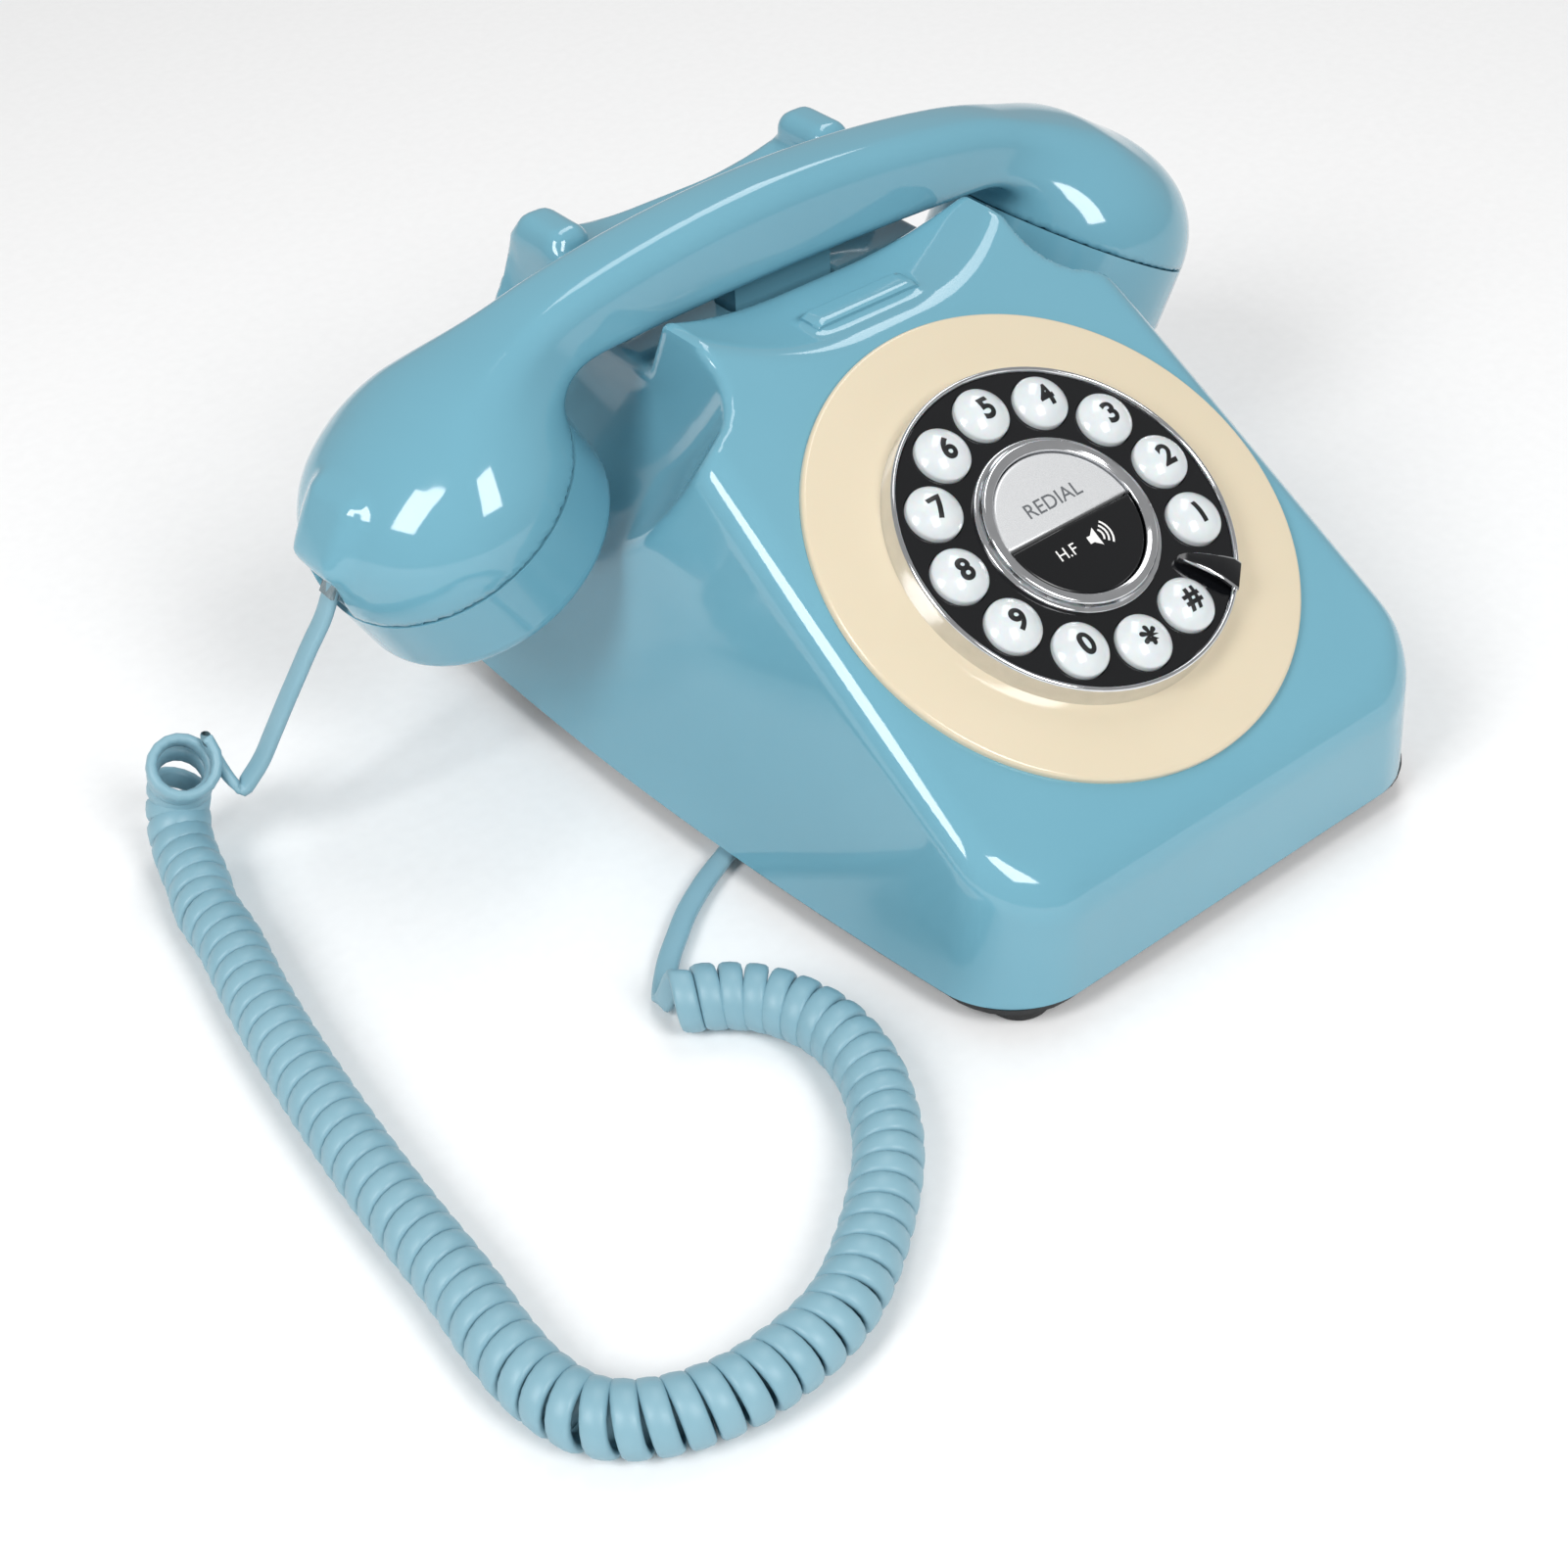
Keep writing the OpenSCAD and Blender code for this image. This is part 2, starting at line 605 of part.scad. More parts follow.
// Hook switch: the handset rests on a sprung plunger in the floor of the channel
handle_keel = 0.8;
hook_top = handle_top_z - handle_t - handle_keel - 0.1;
flange_top = channel_z - wall - hook_travel;
hook_flange_t = 2;
hook_rim = [3, 2];
spring_r = 5.2;
spring_wire = 1;
guide_r = 6.5;
stem_low = board_top + 4.5;
guide_top = 50;
module hook_plunger() color("#78b0c4") translate([0, channel_y, 0]) {
    translate([-hook_w / 2, -hook_d / 2, flange_top - 1]) cube([hook_w, hook_d, hook_top - flange_top + 1]);
    translate([-hook_w / 2 - hook_rim[0], -hook_d / 2 - hook_rim[1], flange_top - hook_flange_t])
        cube([hook_w + 2 * hook_rim[0], hook_d + 2 * hook_rim[1], hook_flange_t]);
    translate([0, 0, stem_low]) cylinder(r = hook_stem_r, h = flange_top - stem_low - 1, $fn = 32);
}
module hook_spring() color("#b8bbbf") translate([0, channel_y, guide_top]) difference() {
    cylinder(r = spring_r, h = flange_top - hook_flange_t - guide_top, $fn = 32);
    translate([0, 0, -1]) cylinder(r = spring_r - spring_wire, h = 60, $fn = 32);
}
module hook_guide() color("#e4e4e0") translate([0, channel_y, board_top]) difference() {
    union() {
        cylinder(r = guide_r, h = guide_top - board_top, $fn = 48);
        translate([-7, -6, 0]) cube([14, 12, 3]);
    }
    translate([0, 0, 3.2]) cylinder(r = hook_stem_r + 0.06, h = 80, $fn = 32);
    translate([-3, -20, -1]) cube([6, 40, 5.4]);
}
module hook_switch() color("#26272a") translate([0, channel_y, board_top]) {
    translate([-2.8, -5, 0]) cube([5.6, 10, 3.4]);
    cylinder(r = 1.4, h = 4.4, $fn = 24);
}

// Handset: two domes on leaning axes, joined by an arched handle
cap_x = cap_span / 2;
seam_slack = 0.05;
module on_cap(side)
    translate([side * cap_x, handset_y, seam_z]) rotate([0, side * cap_lean, 0]) children();

// A dome above its seam and the straight spigot below, turned in one piece
dome_top = 23.5;
dome_steps = 11;
spigot_h = 5;
spigot_ledge = 1.5;
module bell(inset, low_r, low_z, step_z) {
    first = asin(step_z / (dome_top - inset));
    rotate_extrude($fn = 72) polygon(concat(
        [[0, low_z], [low_r, low_z], [low_r, step_z]],
        [for (i = [0:dome_steps])
            let (a = first + (90 - first) * i / dome_steps)
            [(cap_r - inset) * cos(a), (dome_top - inset) * sin(a)]]));
}

// Handle stations run from end to end; each gives height, width and thickness at x
arch_r = 290;
reach = cap_x + 4;
function handle_top(x) = handle_top_z - arch_r + sqrt(arch_r * arch_r - x * x);
function grow_to_cap(x) = pow(max(0, (abs(x) - 52) / (reach - 52)), 2);
function handle_low(x) =
    handle_top(x) * 0.35 + handle_top_z * 0.65 - handle_t - 14 * grow_to_cap(x);
function lower_half(x) = handle_w / 2 + 13 * grow_to_cap(x);
function upper_half(x) = handle_w / 2 - 3.5 + 9 * grow_to_cap(x);
function end_drop(x) = 9 * grow_to_cap(x);
function handle_ring(x, inset) =
    let (top = handle_top(x) - end_drop(x) - inset,
         low = handle_low(x) + inset,
         up = upper_half(x) - inset,
         wide = lower_half(x) - inset,
         mid = top - 1.5 - 2.5 * grow_to_cap(x))
    [for (p = [[-wide, low + 1.5], [-wide + 1.5, low], [0, low - handle_keel], [wide - 1.5, low],
               [wide, low + 1.5], [(up + wide) / 2 + 0.6, (low + mid) / 2], [up, mid],
               [up * 0.55, top - 0.3], [0, top],
               [-up * 0.55, top - 0.3], [-up, mid], [-(up + wide) / 2 - 0.6, (low + mid) / 2]])
        [x, handset_y - p[0], p[1]]];

// Closed skin through a list of rings with equal numbers of points
module skin(rings) {
    n = len(rings[0]);
    last = len(rings) - 1;
    polyhedron(
        points = [for (r = rings) for (p = r) p],
        faces = concat(
            [[for (j = [n - 1:-1:0]) j]],
            [for (i = [0:last - 1]) for (j = [0:n - 1])
                let (a = i * n + j, b = i * n + (j + 1) % n)
                each [[a, b, b + n], [a, b + n, a + n]]],
            [[for (j = [0:n - 1]) last * n + j]]),
        convexity = 6);
}
module handle(inset) {
    steps = 28;
    end = reach - inset;
    skin([for (i = [0:steps]) handle_ring(-end + 2 * end * i / steps, inset)]);
}

// Chin at the left end: it covers the socket, whose mouth looks down and outwards
mouth_lean = 30;
mouth = [-cap_x - 26.1, seam_z - 6];
module on_mouth() translate([mouth[0], handset_y, mouth[1]]) rotate([0, mouth_lean - 90, 0])
    translate([plug_back, 0, 0]) children();
chin_w = 13;
module chin() hull() {
    on_mouth() translate([0.3, -chin_w / 2, -6]) cube([14, chin_w, 13]);
    on_cap(-1) translate([-20, -chin_w / 2, 4]) cube([6, chin_w, 12]);
}

spigot_r = cap_r - shell_wall - fit;
module handset_shell() color("#78b0c4") difference() {
    union() {
        for (side = [-1, 1]) on_cap(side) bell(0, spigot_r, -spigot_h, 0);
        difference() {
            handle(0);
            for (side = [-1, 1]) on_cap(side) translate([0, 0, -60]) cylinder(r = 40, h = 60, $fn = 48);
        }
        chin();
    }
    for (side = [-1, 1]) on_cap(side) bell(shell_wall, spigot_r - shell_wall, -spigot_h - 1, spigot_ledge);
    difference() {
        handle(shell_wall);
        for (side = [-1, 1]) on_cap(side) translate([0, 0, -60]) cylinder(r = 40, h = 62, $fn = 48);
    }
    on_mouth() translate([-20, -plug_size[1] / 2 - fit - 0.5, -plug_size[2] / 2 - fit - 0.5])
        cube([20 + 12, plug_size[1] + 2 * fit + 1, plug_size[2] + 2 * fit + 1]);
}

sound_pitch = 5;
sound_hole_r = 1.2;
module cap(side, holes) on_cap(side) difference() {
    rotate_extrude($fn = 96) polygon(concat(
        [[0, -cap_h]],
        [for (a = [0:6]) [cap_r - 4 + 4 * sin(a * 15), -cap_h + 4 - 4 * cos(a * 15)]],
        [[cap_r, -seam_slack], [0, -seam_slack]]));
    translate([0, 0, -cap_h + shell_wall]) cylinder(r = cap_r - shell_wall, h = cap_h, $fn = 96);
    for (ring = [0:holes]) for (k = [0:max(ring * 6 - 1, 0)])
        rotate(k * 60 / max(ring, 1)) translate([ring * sound_pitch, 0, -cap_h - 1])
            cylinder(r = sound_hole_r, h = 5, $fn = 20);
}
module earpiece_cap() color("#78b0c4") cap(1, 2);
module mouthpiece_cap() color("#78b0c4") cap(-1, 1);

cap_floor = -cap_h + shell_wall;
receiver_r = 18;
receiver_magnet_r = 10;
pad_t = 1.5;
capsule_r = 4.9;
weight = [40, 10, 6];
module receiver_pad() color("#2b2c2e") on_cap(1) translate([0, 0, cap_floor]) difference() {
    cylinder(r = receiver_r, h = pad_t, $fn = 64);
    translate([0, 0, -1]) cylinder(r = receiver_r - 5, h = pad_t + 2, $fn = 64);
}
module receiver_capsule() color("#9a9da1") on_cap(1) translate([0, 0, cap_floor + pad_t]) {
    cylinder(r = receiver_r, h = 4, $fn = 64);
    translate([0, 0, 4]) cylinder(r = receiver_magnet_r, h = 4, $fn = 48);
}
module microphone_holder() color("#2b2c2e") on_cap(-1) translate([0, 0, cap_floor]) difference() {
    cylinder(r = 9, h = 6, $fn = 48);
    translate([0, 0, -1]) cylinder(r = capsule_r, h = 8, $fn = 48);
}
module microphone_capsule() color("#c2c5c9") on_cap(-1) translate([0, 0, cap_floor])
    cylinder(r = capsule_r, h = 5, $fn = 48);
module handset_weight() color("#6b6e72")
    translate([-weight[0] / 2, handset_y - weight[1] / 2, handle_low(weight[0] / 2) + shell_wall])
        cube(weight);
module handset_jack() color("#1b1c1e") on_mouth() socket(plug_size[1] + 1.2, plug_size[2] + 1.2, 11);
// The cord's first stretch, held in the plug's crimp, moves with the plug
crimped_length = 4.6;
module handset_plug() color("#d8e0e2") on_mouth() {
    plug();
    translate([-plug_back - crimped_length, -(cord_w - 0.2) / 2, -(cord_t - 0.2) / 2])
        cube([crimped_length + 1, cord_w - 0.2, cord_t - 0.2]);
}

// Cord: routes are lists of points, rounded by a curve through them
function knot(p, i) = p[max(0, min(len(p) - 1, i))];
function curve_point(p, t) =
    let (i = min(floor(t), len(p) - 2), u = t - i,
         a = knot(p, i - 1), b = knot(p, i), c = knot(p, i + 1), d = knot(p, i + 2))
    0.5 * (2 * b + (c - a) * u + (2 * a - 5 * b + 4 * c - d) * u * u
        + (3 * b - a - 3 * c + d) * u * u * u);
function unit(v) = v / norm(v);
function ring_at(p, t, r, sides) =
    let (o = curve_point(p, t),
         f = unit(curve_point(p, min(t + 0.02, len(p) - 1.0001)) - curve_point(p, max(t - 0.02, 0))),
         s = unit(cross(f, abs(f[2]) > 0.8 ? [0, 1, 0] : [0, 0, 1])),
         w = cross(s, f))
    [for (k = [0:sides - 1]) o + r * (cos(360 * k / sides) * s + sin(360 * k / sides) * w)];
module cord_tube(p, r, sides, steps)
    skin([for (i = [0:steps]) ring_at(p, (len(p) - 1.0001) * i / steps, r, sides)]);

handset_lead_route = [
    [-115.05, 44, 57.76], [-116, 44.1, 55.8], [-118, 44.3, 52.3], [-121, 44.6, 47.6],
    [-124.5, 45, 42.5], [-128, 45.5, 37], [-131.5, 46.2, 31], [-135, 47, 25],
    [-139, 48, 20], [-143, 49.5, 17.5]
];
curly_cord_route = [
    [-148.5, 54, 27], [-148, 57.5, 23], [-148, 60, 18], [-149.5, 60, 13],
    [-152, 56, 9.2], [-154, 50, 7.4], [-156, 42, 6.8], [-158.5, 34, 6.8],
    [-160, 22, 6.8], [-163, 8, 6.8], [-165.5, -6, 6.8], [-168, -24, 6.8],
    [-170, -42, 6.8], [-171.5, -60, 6.8], [-172.5, -78, 6.8], [-174, -92, 6.8],
    [-174, -104, 6.8], [-170.5, -115, 6.8], [-160, -123, 6.8], [-144, -126.5, 6.8],
    [-123.5, -123, 6.8], [-101, -107, 6.8], [-90, -92, 6.8], [-86, -80, 6.8],
    [-86, -70, 6.8], [-89.5, -60.5, 6.8], [-95, -54, 6.8], [-102, -49, 6.8]
];
base_lead_route = [
    [-57.7, -17, 7], [-60.5, -17, 6.5], [-64, -17.5, 4.3], [-68, -18.6, 2.8],
    [-73, -20.5, 2.4], [-78, -23, 2.4], [-84, -26.5, 2.4], [-90, -31, 2.4],
    [-95, -35, 2.4], [-100, -40, 2.5], [-103.5, -45, 3], [-104, -48.5, 4]
];
lead_r = cord_w / 2 - 0.4;
module handset_lead() color("#86b4c4") cord_tube(handset_lead_route, lead_r, 8, 16);
module curly_cord() color("#86b4c4") cord_tube(curly_cord_route, coil_d / 2, 12, 44);
module base_lead() color("#86b4c4") cord_tube(base_lead_route, lead_r, 8, 16);

upper_case();
base_plate();
rubber_feet();
base_screws();
ballast_plate();
dial_surround();
dial_bezel();
dial_plate();
dial_retainer();
finger_stop();
centre_ring();
keypad_membrane();
keypad_board();
keypad_screws();
button_1();
button_2();
button_3();
button_4();
button_5();
button_6();
button_7();
button_8();
button_9();
button_0();
button_star();
button_hash();
redial_button();
handsfree_button();
main_board();
board_screws();
line_transformer();
ringer_chip();
handsfree_mic();
loudspeaker();
speaker_clamp();
line_jack();
base_cord_jack();
hook_plunger();
hook_spring();
hook_guide();
hook_switch();
handset_shell();
earpiece_cap();
mouthpiece_cap();
receiver_capsule();
receiver_pad();
microphone_capsule();
microphone_holder();
handset_weight();
handset_jack();
handset_plug();
handset_lead();
curly_cord();
base_lead();
base_plug();
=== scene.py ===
import math

import bmesh
import bpy
import numpy as np
from mathutils import Matrix, Vector


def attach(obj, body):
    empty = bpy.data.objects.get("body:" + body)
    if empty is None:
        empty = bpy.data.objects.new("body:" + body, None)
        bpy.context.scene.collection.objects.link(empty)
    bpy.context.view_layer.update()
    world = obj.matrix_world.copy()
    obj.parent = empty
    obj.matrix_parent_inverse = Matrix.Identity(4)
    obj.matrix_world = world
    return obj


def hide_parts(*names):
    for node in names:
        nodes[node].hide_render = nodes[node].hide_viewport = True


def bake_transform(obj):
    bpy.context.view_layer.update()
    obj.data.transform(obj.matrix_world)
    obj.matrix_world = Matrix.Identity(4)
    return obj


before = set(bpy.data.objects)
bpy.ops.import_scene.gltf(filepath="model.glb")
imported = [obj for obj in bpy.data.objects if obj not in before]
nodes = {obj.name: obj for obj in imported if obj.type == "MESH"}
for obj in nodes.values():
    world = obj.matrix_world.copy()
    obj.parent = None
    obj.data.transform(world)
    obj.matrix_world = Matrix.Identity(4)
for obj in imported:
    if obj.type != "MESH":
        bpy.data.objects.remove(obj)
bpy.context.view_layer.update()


# Coiled cord. One flat flexible PVC cord, 4.6 mm wide, wound on a mandrel into a tight coil
# of 13 mm, with a straight lead at each end. The leads end in the clear plugs.
def curve_through(points, per_span):
    """A smooth line through the points, as many steps in each span as asked for."""
    p = np.array(points, float)
    p = np.vstack([2 * p[0] - p[1], p, 2 * p[-1] - p[-2]])
    line = []
    for a, b, c, d in zip(p, p[1:], p[2:], p[3:]):
        for u in np.arange(per_span) / per_span:
            line.append(0.5 * (2 * b + (c - a) * u + (2 * a - 5 * b + 4 * c - d) * u**2
                               + (3 * b - a - 3 * c + d) * u**3))
    return np.array(line + [p[-2]])


def even(line, step):
    """The line again, with its points the same step apart."""
    along = np.concatenate([[0], np.cumsum(np.linalg.norm(np.diff(line, axis=0), axis=1))])
    count = max(2, int(round(along[-1] / step)) + 1)
    at = np.linspace(0, along[-1], count)
    return np.stack([np.interp(at, along, line[:, k]) for k in range(3)], 1)


def directions(line):
    d = np.gradient(line, axis=0)
    return d / np.linalg.norm(d, axis=1)[:, None]


def mesh_object(name, vertices, faces, smooth=True):
    mesh = bpy.data.meshes.new(name)
    mesh.from_pydata([tuple(v) for v in vertices], [], [tuple(int(i) for i in f) for f in faces])
    mesh.polygons.foreach_set("use_smooth", [smooth] * len(mesh.polygons))
    obj = bpy.data.objects.new(name, mesh)
    bpy.context.scene.collection.objects.link(obj)
    return obj


handset_lead = [
    (-112.8, 44, 61.7), (-114.5, 44, 58.5), (-117, 44.2, 53.5), (-121, 44.5, 48),
    (-124.5, 45, 42.5), (-128, 45.5, 37), (-131.5, 46.2, 31), (-135, 47, 25),
    (-139, 48, 20)]
coil_axis = [
    (-148.5, 54, 27), (-148, 57.5, 23), (-148, 60, 18), (-149.5, 60, 13),
    (-152, 56, 9.2), (-154, 50, 7.4), (-156, 42, 6.8), (-158.5, 34, 6.8),
    (-160, 22, 6.8), (-163, 8, 6.8), (-165.5, -6, 6.8), (-168, -24, 6.8),
    (-170, -42, 6.8), (-171.5, -60, 6.8), (-172.5, -78, 6.8), (-174, -92, 6.8),
    (-174, -104, 6.8), (-170.5, -115, 6.8), (-160, -123, 6.8), (-144, -126.5, 6.8),
    (-123.5, -123, 6.8), (-101, -107, 6.8), (-90, -92, 6.8), (-86, -80, 6.8),
    (-86, -70, 6.8), (-89.5, -60.5, 6.8), (-95, -54, 6.8), (-102, -49, 6.8)]
base_lead = [
    (-102.5, -43, 2.6), (-100, -40, 2.5), (-95, -35, 2.4), (-90, -31, 2.4),
    (-84, -26.5, 2.4), (-78, -23, 2.4), (-73, -20.5, 2.4), (-68, -18.6, 2.8),
    (-64, -17.5, 4.3), (-60.5, -17, 6.5), (-57.7, -17, 7)]
cord_width, cord_thickness = 4.6, 2.3
coil_outer, coil_pitch = 13.2, 4.75
points_per_turn = 18

axis = even(curve_through(coil_axis, 24), coil_pitch / points_per_turn)
ahead = directions(axis)
side = np.zeros_like(ahead)
side[0] = np.cross(ahead[0], (0, 0, 1))
for i in range(1, len(axis)):
    side[i] = side[i - 1] - ahead[i] * (side[i - 1] @ ahead[i])
    side[i] /= np.linalg.norm(side[i])
side[0] /= np.linalg.norm(side[0])
up = np.cross(ahead, side)
turn = 2 * math.pi * np.arange(len(axis)) / points_per_turn
first_phase = math.radians(-20)
slack = 1.4
radius = (coil_outer - cord_thickness) / 2 + slack * np.exp(-np.arange(len(axis)) / points_per_turn)
outward = np.cos(turn + first_phase)[:, None] * side + np.sin(turn + first_phase)[:, None] * up
coil = axis + radius[:, None] * outward


def bridge(a, da, b, db, count, pull):
    """A curve from a to b that leaves along da and arrives along db."""
    t = np.linspace(0, 1, count)[1:-1, None]
    h = [2 * t**3 - 3 * t**2 + 1, t**3 - 2 * t**2 + t, -2 * t**3 + 3 * t**2, t**3 - t**2]
    return h[0] * a + h[1] * da * pull + h[2] * b + h[3] * db * pull


lead_in = even(curve_through(handset_lead, 8), 1.2)
lead_out = even(curve_through(base_lead, 8), 1.2)
coil_ahead = directions(coil)
join_in = bridge(lead_in[-1], directions(lead_in)[-1], coil[0], coil_ahead[0], 16, 14)
join_out = bridge(coil[-1], coil_ahead[-1], lead_out[0], directions(lead_out)[0], 16, 12)
route = np.vstack([lead_in, join_in, coil, join_out, lead_out])
wide = np.vstack([
    np.tile((0, 1, 0), (len(lead_in), 1)), np.tile((0, 0, 0), (len(join_in), 1)), ahead,
    np.tile((0, 0, 0), (len(join_out), 1)), np.tile((0.2, 0.98, 0), (len(lead_out), 1))]).astype(float)
second_join = len(lead_in) + len(join_in) + len(coil)
for first, count in ((len(lead_in), len(join_in)), (second_join, len(join_out))):
    a, b = wide[first - 1], wide[first + count]
    if a @ b < 0:
        wide[first + count:] *= -1
        b = -b
    for k in range(count):
        u = (k + 1) / (count + 1)
        wide[first + k] = (1 - u) * a + u * b
forward = directions(route)
wide -= forward * np.sum(wide * forward, 1)[:, None]
wide /= np.linalg.norm(wide, axis=1)[:, None]
flat = np.cross(forward, wide)
sides = 12
squareness_w, squareness_t = 0.62, 0.8
angles = 2 * math.pi * np.arange(sides) / sides
rim_w = np.sign(np.cos(angles)) * np.abs(np.cos(angles)) ** squareness_w * cord_width / 2
rim_t = np.sign(np.sin(angles)) * np.abs(np.sin(angles)) ** squareness_t * cord_thickness / 2
rings = route[:, None] + rim_w[None, :, None] * wide[:, None] + rim_t[None, :, None] * flat[:, None]


def tube_faces(rows, n):
    """Quads between rows of n points, and a face on each end."""
    quads = [(i * n + k, i * n + (k + 1) % n, (i + 1) * n + (k + 1) % n, (i + 1) * n + k)
             for i in range(rows - 1) for k in range(n)]
    return quads + [tuple(range(n))[::-1], tuple((rows - 1) * n + k for k in range(n))]


cord = mesh_object("curly_cord_wound", rings.reshape(-1, 3) / 1000, tube_faces(len(route), sides))
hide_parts("handset_lead", "curly_cord", "base_lead")
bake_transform(cord)


def linear(colour):
    """A six-digit sRGB colour as the linear colour that a shader takes."""
    values = [int(colour[i:i + 2], 16) / 255 for i in (1, 3, 5)]
    return (*[v / 12.92 if v <= 0.04045 else ((v + 0.055) / 1.055)**2.4 for v in values], 1)


def add(tree, kind, **settings):
    """A shader node with its settings and links. In a name, _ is a space and _6 the socket 6."""
    node = tree.nodes.new("ShaderNode" + kind)
    for name, value in settings.items():
        key = int(name[1:]) if name[1:].isdigit() else name.replace("_", " ")
        if isinstance(value, bpy.types.NodeSocket):
            tree.links.new(value, node.inputs[key])
        elif isinstance(key, str) and hasattr(node, name) and name.islower():
            setattr(node, name, value)
        else:
            node.inputs[key].default_value = value
    return node


def new_material(name):
    material = bpy.data.materials.new(name)
    material.use_nodes = True
    material.node_tree.nodes.clear()
    return material, material.node_tree


def finish_material(material, tree, shader, *objects):
    """Ends the tree with its shader and lays the material on the objects."""
    add(tree, "OutputMaterial", Surface=shader.outputs[0])
    for obj in objects:
        obj.data.materials.clear()
        obj.data.materials.append(material)


# Flexible PVC, extruded: a satin skin with a fine grain, and a tone that drifts along the cord.
# A pattern's Scale counts its grains in a metre: here one is about 1 mm.
cord_pvc, tree = new_material("cord_pvc_extruded")
place = add(tree, "TexCoord").outputs["Object"]
grain = add(tree, "TexNoise", Vector=place, Scale=900.0, Detail=3.0)
tone = add(tree, "TexNoise", Vector=place, Scale=60.0, Detail=2.0)
shade = add(tree, "Mix", data_type="RGBA", _0=tone.outputs[0],
            _6=linear("#7ca6b5"), _7=linear("#8bb2c0"))
sheen = add(tree, "MapRange", Value=grain.outputs[0], To_Min=0.36, To_Max=0.5)
relief = add(tree, "Bump", Height=grain.outputs[0], Strength=0.12, Distance=0.0001)
shader = add(tree, "BsdfPrincipled", Base_Color=shade.outputs[2], Roughness=sheen.outputs[0],
             Normal=relief.outputs[0], IOR=1.53)
finish_material(cord_pvc, tree, shader, cord)


# Upper case. One moulding of glossy blue ABS, 2.5 mm thick: the dial panel, the saddle with its
# raised bar, the four horns and the scoops beside them are all drawn in the one tool.
def rounded(a, b, r):
    """Inside a and inside b, with the edge between them rounded to r."""
    u, v = np.maximum(r + a, 0), np.maximum(r + b, 0)
    return np.minimum(-r, np.maximum(a, b)) + np.hypot(u, v)


def filleted(a, b, r):
    """Inside a or inside b, with the corner between them filled to r."""
    return -rounded(-a, -b, r)


def mould(name, shape, low, high, cell):
    """The surface where shape is zero, in mm: a vertex in each cell that it crosses, slid onto it."""
    grids = [np.arange(a, b + cell, cell) for a, b in zip(low, high)]
    inside = np.stack([shape(*np.meshgrid([x], grids[1], grids[2], indexing="ij"))[0] < 0
                       for x in grids[0]])
    corners = sum(inside[i:i - 1 or None, j:j - 1 or None, k:k - 1 or None].astype(np.int8)
                  for i in (0, 1) for j in (0, 1) for k in (0, 1))
    crossed = (corners > 0) & (corners < 8)
    number = np.full(crossed.shape, -1)
    number[crossed] = np.arange(crossed.sum())
    v = (np.argwhere(crossed) + 0.5) * cell + np.array(low, float)
    quads = []
    for a in range(3):
        order = (a, (a + 1) % 3, (a + 2) % 3)
        one_side, cells = inside.transpose(order), number.transpose(order)
        one, two = one_side[:-1, 1:-1, 1:-1], one_side[1:, 1:-1, 1:-1]
        for i, j, k in np.argwhere(one != two):
            ring = [cells[i, j, k], cells[i, j + 1, k], cells[i, j + 1, k + 1], cells[i, j, k + 1]]
            quads.append(ring if one[i, j, k] else ring[::-1])
    quads = np.array(quads)
    pairs = np.unique(np.sort(np.vstack([quads[:, [k, (k + 1) % 4]] for k in range(4)]), axis=1), axis=0)
    near = np.bincount(pairs.ravel(), minlength=len(v))[:, None]
    for turn in range(9):
        if turn % 2 == 0:
            mean = np.zeros_like(v)
            np.add.at(mean, pairs[:, 0], v[pairs[:, 1]])
            np.add.at(mean, pairs[:, 1], v[pairs[:, 0]])
            v += 0.6 * (mean / near - v)
        for _ in range(2):
            d = shape(*v.T)
            slope = np.stack([shape(*(v + e).T) - shape(*(v - e).T) for e in np.eye(3) * 0.05], 1) / 0.1
            move = -d[:, None] * slope / np.maximum(np.sum(slope**2, 1), 0.1)[:, None]
            size = np.linalg.norm(move, axis=1)[:, None]
            v += move * np.minimum(1, 0.5 * cell / np.maximum(size, 1e-9))
    return mesh_object(name, v / 1000, quads)


# in mm: x across, y to the back, z up; dial_s is up the panel from its front edge
tilt, panel_y, skirt_z, dial_s = math.radians(30), -96, 31.8, 61.3
rim_z, front_y, back_y, corner_r = 6, -97, 97, 17
panel_front, panel_back, front_draft, back_draft = -84, 4, 0.03, 0.16
channel_y, channel_z, horn_z = 44, 84, 97
saddle_z, saddle_r, edge_r = 90.5, 80, 1.6
well_r, well_depth = 36.3, 30


def rim_x(y):
    return 70.5 - (y - 35)**2 / 1742


